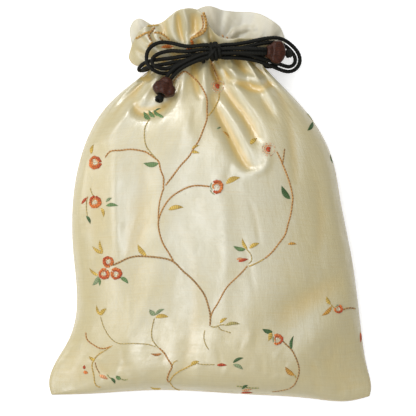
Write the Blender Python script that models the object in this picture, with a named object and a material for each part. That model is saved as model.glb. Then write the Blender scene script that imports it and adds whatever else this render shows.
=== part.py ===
"""A satin travel bag with a drawstring neck, lying on its back with its mouth towards +Y.

Metres, +Z up. The origin is on the floor under the middle of the bag. Two cloth panels are sewn
together along both sides and the bottom. Above the gathered neck they open out as a ruffle. Two pairs
of cord leave the eyes in the side seams, are tied in a bow on the front and end in wooden beads.
"""

import math

import bpy
import numpy as np
from mathutils import Matrix, Vector

# Cloth and seams
CLOTH = 0.0010  # wall: satin with its backing
SEAM_GAP = 0.0003  # between the two panels where they are sewn together
EYE_HEIGHT = 0.0090  # opening in each side seam that lets the pair of cords out
EYE_REACH = 0.0120  # half length of that opening along the seam, and how far in the cloth lifts

# Heights of the bag as it lies
BODY_RISE = 0.0290  # front of the filled body above its seam
NECK_RISE = 0.0120  # front of the neck above its seam
CORNER_DROP = 0.60  # share of the rise that the empty bottom corners lose
CORNER_REACH = 0.0450
EDGE_ROUND = 0.0024  # how far each wall of the ruffle bulges beside its side seam
BACK_CURL = 0.0300  # width of the strip along the seam where the back lifts off the floor
BACK_EDGE = 0.20  # share of the panel's length over which the back curls up at its ends

# Gathers at the neck
PLEATS = 6
PLEAT_DEPTH = 0.0075
BACK_PLEAT_DEPTH = 0.0060
PLEAT_RUN = 0.0360  # how far the pleats run down into the body before they fade
NECK_PINCH = 0.0045  # how much the drawn cord pulls the wall in at the casing
PINCH_REACH = 0.0090

# Shape of the front: where its rise falls to the neck, as shares of the way up from the bottom, and
# how bluntly it rounds off at the sides and at the bottom
NECK_START = 0.55
END_ROUND = 0.42
SIDE_POWER = 2.3
NECK_POWER = 1.7
END_POWER = 2.2
EDGE_STEP = 0.0016  # height of the short steep rise beside each seam

# Points where the seams and edges meet
LEFT_CORNER = (-0.1378, -0.1660, 0.0024)
RIGHT_CORNER = (0.1388, -0.1672, 0.0024)
LEFT_EYE = (-0.0490, 0.1185, 0.0125)
RIGHT_EYE = (0.0455, 0.1200, 0.0125)
LEFT_TIP = (-0.0708, 0.1275, 0.0070)
RIGHT_TIP = (0.0657, 0.1331, 0.0080)

# Seams and edges, each a list of (x, y, z) that the cloth follows
BOTTOM_SEAM = [
    LEFT_CORNER,
    (-0.1050, -0.1650, 0.0055),
    (-0.0475, -0.1616, 0.0095),
    (0.0300, -0.1650, 0.0105),
    (0.0900, -0.1692, 0.0075),
    (0.1220, -0.1712, 0.0042),
    RIGHT_CORNER,
]
LEFT_SEAM = [
    LEFT_CORNER,
    (-0.1397, -0.1595, 0.0026),
    (-0.1331, -0.1356, 0.0042),
    (-0.1225, -0.1175, 0.0070),
    (-0.1162, -0.0960, 0.0105),
    (-0.1184, -0.0415, 0.0150),
    (-0.1192, -0.0069, 0.0160),
    (-0.1115, 0.0415, 0.0160),
    (-0.0907, 0.0829, 0.0145),
    (-0.0615, 0.1090, 0.0130),
    LEFT_EYE,
]
RIGHT_SEAM = [
    RIGHT_CORNER,
    (0.1400, -0.1620, 0.0026),
    (0.1374, -0.1452, 0.0042),
    (0.1305, -0.1037, 0.0090),
    (0.1218, -0.0415, 0.0140),
    (0.1123, 0.0069, 0.0150),
    (0.1071, 0.0346, 0.0150),
    (0.0864, 0.0760, 0.0140),
    (0.0600, 0.1050, 0.0130),
    RIGHT_EYE,
]
NECK_LINE = [
    LEFT_EYE,
    (-0.0250, 0.1265, 0.0125),
    (0.0050, 0.1285, 0.0125),
    (0.0300, 0.1260, 0.0125),
    RIGHT_EYE,
]
LEFT_WING = [
    LEFT_EYE,
    (-0.0600, 0.1190, 0.0105),
    (-0.0685, 0.1230, 0.0080),
    LEFT_TIP,
]
RIGHT_WING = [
    RIGHT_EYE,
    (0.0562, 0.1262, 0.0105),
    RIGHT_TIP,
]
FRONT_HEM = [
    LEFT_TIP,
    (-0.0665, 0.1400, 0.0150),
    (-0.0553, 0.1529, 0.0230),
    (-0.0432, 0.1560, 0.0190),
    (-0.0328, 0.1633, 0.0250),
    (-0.0230, 0.1675, 0.0310),
    (-0.0110, 0.1668, 0.0290),
    (-0.0035, 0.1600, 0.0250),
    (0.0015, 0.1500, 0.0225),
    (0.0110, 0.1430, 0.0222),
    (0.0260, 0.1428, 0.0222),
    (0.0420, 0.1424, 0.0205),
    (0.0560, 0.1400, 0.0165),
    RIGHT_TIP,
]
BACK_HEM = [
    LEFT_TIP,
    (-0.0683, 0.1400, 0.0055),
    (-0.0698, 0.1512, 0.0050),
    (-0.0615, 0.1612, 0.0090),
    (-0.0518, 0.1560, 0.0070),
    (-0.0346, 0.1600, 0.0035),
    (-0.0173, 0.1659, 0.0045),
    (-0.0026, 0.1716, 0.0095),
    (0.0104, 0.1685, 0.0070),
    (0.0302, 0.1672, 0.0035),
    (0.0415, 0.1659, 0.0055),
    (0.0536, 0.1595, 0.0085),
    (0.0613, 0.1529, 0.0065),
    (0.0650, 0.1430, 0.0060),
    RIGHT_TIP,
]

# Folds of the front, in millimetres: depth, width and the points of each line in plan. A negative
# depth is a ridge.
FOLDS = [
    (3.2, 6.0, [(-0.9, 122.4), (2.6, 115.8), (7.8, 106.0)]),
    (6.0, 8.0, [(9.5, 107.1), (16.4, 94.2), (25.1, 81.2), (32.0, 70.8), (38.9, 57.0)]),
    (4.6, 8.0, [(3.0, 92.0), (12.0, 69.0), (18.5, 56.0), (31.0, 32.0)]),
    (2.8, 7.0, [(13.8, 112.5), (22.5, 108.0), (34.6, 102.8), (50.5, 105.4)]),
    (4.2, 8.0, [(-63.1, 88.4), (-51.8, 80.0), (-39.5, 86.0), (-31.0, 101.8)]),
    (2.4, 8.0, [(-42.0, 112.0), (-66.0, 98.0), (-84.0, 74.0)]),
    (-2.0, 8.0, [(-58.5, 96.2), (-73.4, 78.6), (-88.4, 56.6)]),
    (-2.2, 9.0, [(-14.0, 106.0), (-13.5, 85.5), (-20.0, 52.0)]),
    (2.4, 14.0, [(-56.0, 76.0), (-58.8, 3.5), (-64.8, -80.0)]),
    (-1.8, 9.0, [(-84.0, 52.0), (-82.0, 5.0), (-80.0, -46.0)]),
    (3.4, 16.0, [(124.0, -60.0), (90.7, -78.6), (56.0, -104.0)]),
    (-1.8, 12.0, [(118.0, -96.0), (96.0, -112.0), (72.0, -140.0)]),
    (2.0, 8.0, [(60.0, 92.0), (70.0, 60.0), (74.0, 22.0)]),
    (1.6, 9.0, [(86.0, 40.0), (96.0, -6.0), (92.0, -50.0)]),
    (-1.5, 10.0, [(4.0, 30.0), (12.0, -40.0), (2.0, -120.0)]),
    (1.6, 9.0, [(-18.0, -30.0), (-12.0, -90.0), (-22.0, -150.0)]),
]
FOLD_STEPS = 24

# Cord, tied in a bow on the front of the neck
CORD = 0.0032
FIT = 0.0003  # gap where two pieces meet
CORD_STEP = 2.0  # distance between a cord's points, in diameters
BOW_KNOT = (0.0043, 0.1315, 0.0273)
BOW_KNOT_LENGTH = 0.0110
BOW_KNOT_HALF = (0.0080, 0.0064)  # across the bag and away from it
BOW_KNOT_TURNS = 3
STOPPER = 0.0078  # diameter of the knot that keeps a bead on its cords
STOPPER_RINGS = 7

# Routes of the cords, as (x, y, z) along each: from an eye to the bow's knot, round a loop of the
# bow, or from the knot through a bead to its stopper.
ROUTES = {
    "left_draw_upper": [
        (-0.0460, 0.1194, 0.0143),
        (-0.0500, 0.1182, 0.0141),
        (-0.0542, 0.1168, 0.0152),
        (-0.0572, 0.1162, 0.0184),
        (-0.0574, 0.1164, 0.0226),
        (-0.0548, 0.1172, 0.0262),
        (-0.0500, 0.1184, 0.0278),
        (-0.0440, 0.1196, 0.0276),
        (-0.0380, 0.1207, 0.0266),
        (-0.0300, 0.1222, 0.0255),
        (-0.0200, 0.1240, 0.0247),
        (-0.0110, 0.1256, 0.0240),
        (-0.0019, 0.1263, 0.0238),
    ],
    "left_draw_lower": [
        (-0.0460, 0.1194, 0.0107),
        (-0.0500, 0.1182, 0.0105),
        (-0.0560, 0.1162, 0.0110),
        (-0.0602, 0.1156, 0.0140),
        (-0.0614, 0.1164, 0.0186),
        (-0.0602, 0.1186, 0.0226),
        (-0.0568, 0.1212, 0.0248),
        (-0.0510, 0.1232, 0.0256),
        (-0.0420, 0.1247, 0.0252),
        (-0.0320, 0.1260, 0.0248),
        (-0.0220, 0.1275, 0.0246),
        (-0.0120, 0.1290, 0.0240),
        (-0.0019, 0.1298, 0.0238),
    ],
    "left_loop_outer": [
        (-0.0019, 0.1368, 0.0260),
        (-0.0090, 0.1366, 0.0254),
        (-0.0175, 0.1358, 0.0252),
        (-0.0260, 0.1370, 0.0248),
        (-0.0345, 0.1390, 0.0240),
        (-0.0420, 0.1393, 0.0246),
        (-0.0490, 0.1368, 0.0256),
        (-0.0536, 0.1315, 0.0266),
        (-0.0546, 0.1250, 0.0288),
        (-0.0528, 0.1190, 0.0313),
        (-0.0484, 0.1150, 0.0314),
        (-0.0430, 0.1128, 0.0290),
        (-0.0370, 0.1124, 0.0274),
        (-0.0300, 0.1148, 0.0280),
        (-0.0220, 0.1189, 0.0284),
        (-0.0130, 0.1224, 0.0280),
        (-0.0060, 0.1252, 0.0275),
        (-0.0019, 0.1263, 0.0273),
    ],
    "left_loop_inner": [
        (-0.0019, 0.1333, 0.0260),
        (-0.0090, 0.1329, 0.0256),
        (-0.0180, 0.1316, 0.0260),
        (-0.0260, 0.1316, 0.0260),
        (-0.0330, 0.1320, 0.0254),
        (-0.0405, 0.1308, 0.0258),
        (-0.0466, 0.1280, 0.0276),
        (-0.0498, 0.1240, 0.0302),
        (-0.0490, 0.1198, 0.0322),
        (-0.0444, 0.1172, 0.0318),
        (-0.0380, 0.1164, 0.0298),
        (-0.0300, 0.1190, 0.0288),
        (-0.0210, 0.1236, 0.0284),
        (-0.0110, 0.1276, 0.0278),
        (-0.0019, 0.1298, 0.0273),
    ],
    "left_tail_lower": [
        (-0.0019, 0.1263, 0.0308),
        (-0.0090, 0.1240, 0.0316),
        (-0.0170, 0.1205, 0.0322),
        (-0.0250, 0.1162, 0.0320),
        (-0.0304, 0.1113, 0.0313),
        (-0.0347, 0.1064, 0.0318),
        (-0.0375, 0.0997, 0.0346),
        (-0.0403, 0.0930, 0.0375),
    ],
    "left_tail_upper": [
        (-0.0019, 0.1298, 0.0308),
        (-0.0090, 0.1278, 0.0316),
        (-0.0170, 0.1243, 0.0322),
        (-0.0250, 0.1202, 0.0324),
        (-0.0330, 0.1146, 0.0320),
        (-0.0379, 0.1078, 0.0318),
        (-0.0407, 0.1011, 0.0346),
        (-0.0435, 0.0944, 0.0375),
    ],
    "right_draw_upper": [
        (0.0425, 0.1203, 0.0143),
        (0.0470, 0.1195, 0.0142),
        (0.0515, 0.1195, 0.0150),
        (0.0548, 0.1213, 0.0168),
        (0.0556, 0.1244, 0.0190),
        (0.0530, 0.1272, 0.0208),
        (0.0480, 0.1284, 0.0220),
        (0.0400, 0.1281, 0.0230),
        (0.0300, 0.1269, 0.0236),
        (0.0200, 0.1263, 0.0238),
        (0.0105, 0.1263, 0.0238),
    ],
    "right_draw_lower": [
        (0.0425, 0.1203, 0.0107),
        (0.0475, 0.1194, 0.0105),
        (0.0535, 0.1192, 0.0116),
        (0.0584, 0.1212, 0.0140),
        (0.0594, 0.1248, 0.0164),
        (0.0572, 0.1284, 0.0182),
        (0.0526, 0.1310, 0.0196),
        (0.0460, 0.1320, 0.0212),
        (0.0380, 0.1314, 0.0232),
        (0.0280, 0.1303, 0.0238),
        (0.0190, 0.1298, 0.0238),
        (0.0105, 0.1298, 0.0238),
    ],
    "right_loop_outer": [
        (0.0105, 0.1368, 0.0268),
        (0.0180, 0.1372, 0.0272),
        (0.0260, 0.1382, 0.0268),
        (0.0390, 0.1408, 0.0258),
        (0.0520, 0.1432, 0.0240),
        (0.0610, 0.1428, 0.0204),
        (0.0680, 0.1396, 0.0156),
        (0.0736, 0.1348, 0.0116),
        (0.0774, 0.1288, 0.0088),
        (0.0778, 0.1226, 0.0078),
        (0.0744, 0.1172, 0.0084),
        (0.0686, 0.1148, 0.0112),
        (0.0620, 0.1158, 0.0152),
        (0.0555, 0.1182, 0.0194),
        (0.0485, 0.1208, 0.0226),
        (0.0410, 0.1232, 0.0252),
        (0.0330, 0.1248, 0.0268),
        (0.0240, 0.1258, 0.0276),
        (0.0160, 0.1263, 0.0275),
        (0.0105, 0.1263, 0.0273),
    ],
    "right_loop_inner": [
        (0.0105, 0.1333, 0.0264),
        (0.0180, 0.1336, 0.0268),
        (0.0260, 0.1344, 0.0264),
        (0.0390, 0.1371, 0.0256),
        (0.0510, 0.1394, 0.0236),
        (0.0600, 0.1389, 0.0198),
        (0.0664, 0.1358, 0.0154),
        (0.0712, 0.1312, 0.0124),
        (0.0738, 0.1262, 0.0110),
        (0.0732, 0.1218, 0.0112),
        (0.0698, 0.1192, 0.0128),
        (0.0640, 0.1196, 0.0164),
        (0.0576, 0.1216, 0.0204),
        (0.0510, 0.1236, 0.0236),
        (0.0440, 0.1254, 0.0262),
        (0.0370, 0.1276, 0.0278),
        (0.0280, 0.1292, 0.0278),
        (0.0190, 0.1298, 0.0274),
        (0.0105, 0.1298, 0.0273),
    ],
    "right_tail_lower": [
        (0.0105, 0.1298, 0.0308),
        (0.0190, 0.1300, 0.0315),
        (0.0280, 0.1300, 0.0319),
        (0.0370, 0.1297, 0.0317),
        (0.0440, 0.1296, 0.0307),
        (0.0483, 0.1296, 0.0295),
        (0.0560, 0.1289, 0.0271),
        (0.0636, 0.1283, 0.0247),
    ],
    "right_tail_upper": [
        (0.0105, 0.1333, 0.0308),
        (0.0190, 0.1336, 0.0314),
        (0.0280, 0.1336, 0.0318),
        (0.0370, 0.1334, 0.0316),
        (0.0440, 0.1333, 0.0307),
        (0.0486, 0.1331, 0.0295),
        (0.0563, 0.1324, 0.0271),
        (0.0639, 0.1318, 0.0247),
    ],
}

# Wooden beads: the middle of each end, cord side first
BEADS = {
    "left_bead": ((-0.0363, 0.1071, 0.0317), (-0.0419, 0.0937, 0.0375)),
    "right_bead": ((0.0484, 0.1313, 0.0295), (0.0637, 0.1300, 0.0247)),
}
BEAD_BORE = 0.0078
BEAD_LOBES = 5
BEAD_LOBE_DEPTH = 0.0011
BEAD_PROFILE = [  # share of the length, radius
    (0.0, 0.0046),
    (0.08, 0.0053),
    (0.3, 0.0056),
    (0.55, 0.0061),
    (0.78, 0.0066),
    (0.93, 0.0060),
    (1.0, 0.0050),
]
BEAD_SIDES = 20

# Faces of the cloth's mesh
COLUMNS = 34
BODY_ROWS = 24
RUFFLE_ROWS = 4
ROWS_EVEN = 0.55  # share of the rows' spacing that is even; the rest crowds to both ends
COLUMNS_EVEN = 0.35  # the same for the columns below the neck
COLUMNS_MERGE = (0.45, 0.95)  # shares of the way up between which the columns become even


def spline(points):
    """A natural cubic spline through points, as a function of t, 0 to 1 along its length."""
    p = np.array(points, float)
    s = np.concatenate([[0.0], np.cumsum(np.linalg.norm(np.diff(p, axis=0), axis=1))])
    s /= s[-1]
    h = np.diff(s)
    matrix, right = np.eye(len(p)), np.zeros_like(p)
    for i in range(1, len(p) - 1):
        matrix[i, i - 1 : i + 2] = h[i - 1], 2 * (h[i - 1] + h[i]), h[i]
        right[i] = 6 * ((p[i + 1] - p[i]) / h[i] - (p[i] - p[i - 1]) / h[i - 1])
    bend = np.linalg.solve(matrix, right)

    def at(t):
        t = np.clip(np.asarray(t, float), 0.0, 1.0)
        i = np.clip(np.searchsorted(s, t, side="right") - 1, 0, len(h) - 1)
        step = h[i][..., None]
        a = (s[i + 1] - t)[..., None] / step
        b = 1.0 - a
        curve = (a**3 - a) * bend[i] + (b**3 - b) * bend[i + 1]
        return a * p[i] + b * p[i + 1] + curve * step**2 / 6

    return at


def smooth_step(value, low, high):
    """0 below low, 1 above high, and a smooth rise between them."""
    t = np.clip((value - low) / (high - low), 0.0, 1.0)
    return t * t * (3 - 2 * t)


def crowd(even, share):
    """Even steps from 0 to 1, crowded towards both ends; share is how much of them stays even."""
    return share * even + (1 - share) * (1 - np.cos(math.pi * even)) / 2


def across(columns):
    """Where the columns lie across the panel, 0 to 1, evenly spaced and crowded to the seams."""
    even = np.linspace(0.0, 1.0, columns + 1)
    return even, crowd(even, COLUMNS_EVEN)


def plan():
    """The sheet half way between the panels: its points for the body's rows and the ruffle's rows."""
    even, crowded = across(COLUMNS)
    along = crowd(np.linspace(0.0, 1.0, BODY_ROWS + 1), ROWS_EVEN)
    b = along[:, None, None]
    # Columns are evenly spaced at the neck, where the pleats are, and crowd to the seams below it.
    share = crowded + (even - crowded) * smooth_step(along, *COLUMNS_MERGE)[:, None]
    u = share[:, :, None]
    left, right = spline(LEFT_SEAM)(along), spline(RIGHT_SEAM)(along)
    bottom, neck = spline(BOTTOM_SEAM)(share), spline(NECK_LINE)(share)
    ends = (1 - u) * left[:, None] + u * right[:, None]
    rows = (1 - b) * bottom + b * neck
    corners = (1 - b) * ((1 - u) * left[0] + u * right[0]) + b * ((1 - u) * left[-1] + u * right[-1])
    return ends + rows - corners, along, share


def fold_depth(points):
    """How deep the folds press into the front at each point."""
    depth = np.zeros(points.shape[:-1])
    steps = np.linspace(0.0, 1.0, FOLD_STEPS)
    for deep, width, line in FOLDS:
        curve = spline(np.array(line) / 1000)(steps)
        away = np.linalg.norm(points[..., None, :2] - curve, axis=-1)
        place = away.argmin(axis=-1) / (FOLD_STEPS - 1)
        fade = np.sin(math.pi * (0.1 + 0.8 * place)) ** 0.7
        depth += deep / 1000 * fade * np.exp(-((away.min(axis=-1) / (width / 1000)) ** 2))
    return depth


def panel_surfaces():
    """The outer faces of the front and back panels as grids of points, and the seam's own sheet."""
    body, along, share = plan()
    t = 2 * share - 1
    b = along[:, None]
    to_neck = smooth_step(b, NECK_START, 1.0)
    length = np.abs(body[..., 1] - body[-1, :, 1])

    # Front: a pillow that falls to a flattened oval at the neck.
    round_side = (1 - np.abs(t) ** (SIDE_POWER + NECK_POWER * to_neck)).clip(0) ** 0.5
    round_end = (1 - (1 - np.clip(b / END_ROUND, 0, 1)) ** END_POWER).clip(0) ** 0.5
    rise = (BODY_RISE + (NECK_RISE - BODY_RISE) * to_neck) * round_side * round_end
    for corner in (body[0, 0], body[0, -1]):
        away = np.linalg.norm(body[..., :2] - corner[:2], axis=-1)
        rise *= 1 - CORNER_DROP * np.exp(-((away / CORNER_REACH) ** 2))
    rise += EDGE_STEP * ((1 - np.abs(t) ** 12).clip(0) * (1 - (1 - b) ** 60)) ** 0.5
    pleats = 0.5 - 0.5 * np.cos(2 * math.pi * PLEATS * share)
    inside = (1 - np.abs(t) ** 6).clip(0)
    run = np.clip(1.01 * np.exp(-((length / PLEAT_RUN) ** 2)) - 0.01, 0.0, 1.0)
    pinch = NECK_PINCH * np.exp(-((length / PINCH_REACH) ** 2)) * inside
    front = body.copy()
    front[..., 2] += rise - PLEAT_DEPTH * pleats * run * inside - pinch - fold_depth(body) * inside

    # Back: flat on the floor, curling up to the seam round its edge, and pleated at the neck.
    width = np.linalg.norm(body[:, -1] - body[:, 0], axis=-1)[:, None]
    from_side = np.minimum(share, 1 - share) * width / BACK_CURL
    from_end = b / BACK_EDGE
    # The two distances join in a smooth minimum, so that the corners curl as the sides do.
    near = (np.maximum(from_side, 1e-3) ** -4 + np.maximum(from_end, 1e-3) ** -4) ** -0.25
    flat = (1 - (1 - np.minimum(near, 1.0)) ** 2) ** 0.5
    back_pleats = 0.5 + 0.5 * np.cos(2 * math.pi * PLEATS * share)
    on_edge = (share > 0) & (share < 1) & (b > 0)
    back = body.copy()
    back[..., 2] *= 1 - flat * on_edge
    back[..., 2] += BACK_PLEAT_DEPTH * back_pleats * run * inside

    # Ruffle: from the neck out to each hem.
    walls = []
    w = np.linspace(0.0, 1.0, RUFFLE_ROWS + 1)[1:, None, None]
    even = np.linspace(0.0, 1.0, COLUMNS + 1)
    side = np.sqrt((1 - np.abs(2 * even - 1) ** 12).clip(0))
    left, right = spline(LEFT_WING)(w[:, 0, 0]), spline(RIGHT_WING)(w[:, 0, 0])
    for wall, hem, sign in ((front, FRONT_HEM, 1), (back, BACK_HEM, -1)):
        edge = spline(hem)(even)
        edge[:, 2] += sign * EDGE_ROUND * side
        leaf = (1 - w) * wall[-1] + w * edge
        # The ruled strip is pulled onto the wings at both ends.
        u = even[None, :, None]
        leaf += (1 - u) ** 6 * (left - leaf[:, 0])[:, None] + u**6 * (right - leaf[:, -1])[:, None]
        walls.append(np.concatenate([wall, leaf]))
    return walls


def eye_lips(grid):
    """How far open each side seam is, row by row: 1 in the middle of the cord's eye, 0 where sewn."""
    away = [np.linalg.norm(grid[:, side] - grid[BODY_ROWS, side], axis=-1) for side in (0, -1)]
    return np.clip(1 - (np.stack(away, axis=1) / EYE_REACH) ** 2, 0.0, 1.0)


def open_eyes(wall, sign):
    """Lifts the cloth off the cords where they come out at each end of the neck."""
    for side in (0, -1):
        x, y, z = wall[BODY_ROWS, side]
        away = np.hypot(wall[..., 0] - x, wall[..., 1] - y)
        lift = EYE_HEIGHT / 2 * np.clip(1 - (away / EYE_REACH) ** 2, 0.0, 1.0)
        need = np.where(away < EYE_REACH, sign * z + lift + CLOTH, -1.0)
        wall[:, 1:-1, 2] = sign * np.maximum(sign * wall[:, 1:-1, 2], need[:, 1:-1])


def inner_face(outer, middle, lips, sign):
    """The inside of a panel: its outer face moved in by the cloth, kept clear of the other panel."""
    du, dv = np.gradient(outer, axis=1), np.gradient(outer, axis=0)
    normal = np.cross(du, dv)
    normal /= np.linalg.norm(normal, axis=-1, keepdims=True)
    inner = outer - sign * CLOTH * normal
    clear = middle + sign * SEAM_GAP / 2
    inner[..., 2] = sign * np.maximum(sign * inner[..., 2], sign * clear)
    # Along the seams the wall ends in a rim, one cloth wide: level where it is sewn, sloped at an eye.
    for edge, near, lip in (
        ((slice(None), 0), (slice(None), 1), lips[:, 0]),
        ((slice(None), -1), (slice(None), -2), lips[:, 1]),
        ((0, slice(1, -1)), (1, slice(1, -1)), 0.0),
    ):
        inward = (outer[near] - outer[edge])[..., :2]
        inward /= np.linalg.norm(inward, axis=-1, keepdims=True)
        inner[edge] = outer[edge]
        inner[edge][..., :2] += CLOTH * inward
        inner[edge][..., 2] -= sign * CLOTH * lip
    for corner, near in (((0, 0), (1, 1)), ((0, -1), (1, -2))):
        inward = (outer[near] - outer[corner])[:2]
        inner[corner] = outer[corner]
        inner[corner][:2] += CLOTH * inward / np.linalg.norm(inward)
    return inner


def shell(name, outer, inner, material, flip):
    """A closed wall between two grids of points, joined by a rim round all four edges."""
    rows, columns = outer.shape[:2]
    count = rows * columns
    number = np.arange(count).reshape(rows, columns)
    faces = []
    last_row, last_column = rows - 2, columns - 2
    for i in range(rows - 1):
        for j in range(columns - 1):
            a, b, c, d = number[i, j], number[i, j + 1], number[i + 1, j + 1], number[i + 1, j]
            # Both faces split a cell the same way: at a corner of the panel away from its edges,
            # and elsewhere along the shorter diagonal.
            first = np.linalg.norm(outer[i, j] - outer[i + 1, j + 1])
            second = np.linalg.norm(outer[i, j + 1] - outer[i + 1, j])
            along_first = first < second
            if i in (0, last_row) and j in (0, last_column):
                along_first = (i == 0) == (j == 0)
            halves = ((a, b, c), (a, c, d)) if along_first else ((a, b, d), (b, c, d))
            for x, y, z in halves:
                faces.append((x, y, z))
                faces.append((count + z, count + y, count + x))
    ring = np.concatenate([number[0, :-1], number[:-1, -1], number[-1, :0:-1], number[:0:-1, 0]])
    for a, b in zip(ring, np.roll(ring, -1)):
        faces.append((b, a, count + a, count + b))
    if flip:
        faces = [tuple(reversed(face)) for face in faces]
    points = np.concatenate([outer.reshape(-1, 3), inner.reshape(-1, 3)])
    mesh = bpy.data.meshes.new(name)
    mesh.from_pydata(points.tolist(), [], [[int(i) for i in face] for face in faces])
    mesh.update()
    mesh.shade_smooth()
    mesh.set_sharp_from_angle(angle=math.radians(60))
    return add(name, mesh, material)


def add(name, data, material):
    """An object of this name in the scene, with its material."""
    data.materials.append(material)
    made = bpy.data.objects.new(name, data)
    bpy.context.scene.collection.objects.link(made)
    return made


def paint(name, colour, roughness, metallic=0.0):
    """A plain Principled material."""
    material = bpy.data.materials.new(name)
    material.use_nodes = True
    shader = material.node_tree.nodes["Principled BSDF"]
    shader.inputs["Base Color"].default_value = (*colour, 1.0)
    shader.inputs["Roughness"].default_value = roughness
    shader.inputs["Metallic"].default_value = metallic
    return material


def clear_scene():
    for item in list(bpy.data.objects):
        bpy.data.objects.remove(item)


def make_panels(satin):
    """The two cloth panels, from seam to seam and from the bottom to the ruffle's hem."""
    front, back = panel_surfaces()
    middle = (front[..., 2] + back[..., 2]) / 2
    lips = eye_lips(front)
    for name, wall, sign in (("front_panel", front, 1), ("back_panel", back, -1)):
        open_eyes(wall, sign)
        wall[0, :, 2] += sign * SEAM_GAP / 2
        for side in (0, -1):
            opening = SEAM_GAP / 2 + lips[:, side] * (EYE_HEIGHT / 2 + CLOTH)
            wall[:, side, 2] = middle[:, side] + sign * opening
        shell(name, wall, inner_face(wall, middle, lips, sign), satin, sign < 0)


def make_cord(name, route, material):
    """A round cord along a smooth curve through its route, as a tube with flat ends."""
    smooth = spline(route)
    fine = smooth(np.linspace(0.0, 1.0, 400))
    length = np.linalg.norm(np.diff(fine, axis=0), axis=1).sum()
    count = max(9, round(length / (CORD_STEP * CORD)) + 1)
    points = smooth(np.linspace(0.0, 1.0, count))
    curve = bpy.data.curves.new(name, "CURVE")
    curve.dimensions = "3D"
    curve.bevel_depth = CORD / 2
    curve.bevel_resolution = 2
    curve.use_fill_caps = True
    line = curve.splines.new("POLY")
    line.points.add(count - 1)
    for point, place in zip(line.points, points):
        point.co = (*place, 1.0)
    return add(name, curve, material)


def turned(name, profile, start, end, sides, material, lobes=0, lobe_depth=0.0):
    """A body turned about the line from start to end. Its profile is a closed ring of
    (share of the length, radius, lobe share), or an open one whose ends lie on the axis."""
    start, end = Vector(start), Vector(end)
    axis = end - start
    turn = Vector((0, 0, 1)).rotation_difference(axis)
    place = Matrix.Translation(start) @ turn.to_matrix().to_4x4()
    open_ends = profile[0][1] == 0.0
    points, faces = [], []
    for share, radius, lobe in profile:
        for i in range(1 if radius == 0.0 else sides):
            angle = 2 * math.pi * i / sides
            r = radius + lobe * lobe_depth * math.cos(lobes * angle)
            points.append(place @ Vector((r * math.cos(angle), r * math.sin(angle), share * axis.length)))
    rings, first = [], 0
    for _, radius, _ in profile:
        count = 1 if radius == 0.0 else sides
        rings.append([first + i % count for i in range(sides)])
        first += count
    pairs = list(zip(rings, rings[1:])) + ([] if open_ends else [(rings[-1], rings[0])])
    for low, high in pairs:
        for i in range(sides):
            j = (i + 1) % sides
            corners = dict.fromkeys((low[i], low[j], high[j], high[i]))
            faces.append(tuple(corners))
    mesh = bpy.data.meshes.new(name)
    mesh.from_pydata(points, [], faces)
    mesh.update()
    mesh.shade_smooth()
    mesh.set_sharp_from_angle(angle=math.radians(40))
    return add(name, mesh, material)


def make_beads(wood):
    """Turned beads with a lobed rim, bored through for the pair of cords."""
    bore = BEAD_BORE / 2
    lobes = [(s, r, max(0.0, (s - 0.3) / 0.7)) for s, r in BEAD_PROFILE]
    ring = [(0.0, bore, 0.0), *lobes, (1.0, bore, 0.0)]
    for name, (start, end) in BEADS.items():
        turned(name, ring, start, end, BEAD_SIDES, wood, BEAD_LOBES, BEAD_LOBE_DEPTH)


def make_knots(black):
    """The bow's knot, as turns of cord side by side, and the stopper behind each bead."""
    half, away = BOW_KNOT_LENGTH / 2, BOW_KNOT_HALF[1]
    x, y, z = BOW_KNOT
    steps = 2 * BOW_KNOT_TURNS
    profile = [(0.0, 0.0, 0.0)]
    for i in range(steps + 1):
        dip = 0.09 * (1 + math.cos(2 * math.pi * BOW_KNOT_TURNS * i / steps))
        profile.append((i / steps, away * (1 - dip), 0.0))
    profile.append((1.0, 0.0, 0.0))
    knot = turned("bow_knot", profile, (x - half, y, z), (x + half, y, z), 18, black)
    wide = BOW_KNOT_HALF[0] / away
    for vertex in knot.data.vertices:
        vertex.co.y = y + wide * (vertex.co.y - y)
    turns = np.linspace(0, math.pi, STOPPER_RINGS)[1:-1]
    ball = [(0.5 - 0.5 * math.cos(a), STOPPER / 2 * math.sin(a), 0.0) for a in turns]
    ball = [(0.0, 0.0, 0.0), *ball, (1.0, 0.0, 0.0)]
    for side in ("left", "right"):
        start, end = (Vector(p) for p in BEADS[side + "_bead"])
        along = (end - start).normalized()
        near = end + FIT * along
        turned(side + "_stopper_knot", ball, near, near + STOPPER * along, 12, black)


def main():
    clear_scene()
    satin = paint("satin", (0.70, 0.64, 0.47), 0.38)
    black = paint("black_cord", (0.012, 0.013, 0.010), 0.7)
    wood = paint("bead_wood", (0.085, 0.022, 0.012), 0.35)
    make_panels(satin)
    for name, route in ROUTES.items():
        make_cord(name, route, black)
    make_beads(wood)
    make_knots(black)


main()
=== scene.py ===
# %% [markdown]
# # A drawstring travel bag of embroidered silk
#
# The real thing is a flat pouch of cream dupion silk, lying on its back. A pair of black braided
# cords gathers the neck, is tied in a bow on the front, and ends in two turned wooden beads. A
# vine of brown stems, green and gold leaves and small orange roses is embroidered on it.
#
# The solid model is already fixed. This lesson dresses it: each solid is replaced by a
# finer piece in the same place. All lengths are metres, and +Z is up.

# %% Load the solid model
import math

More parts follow.
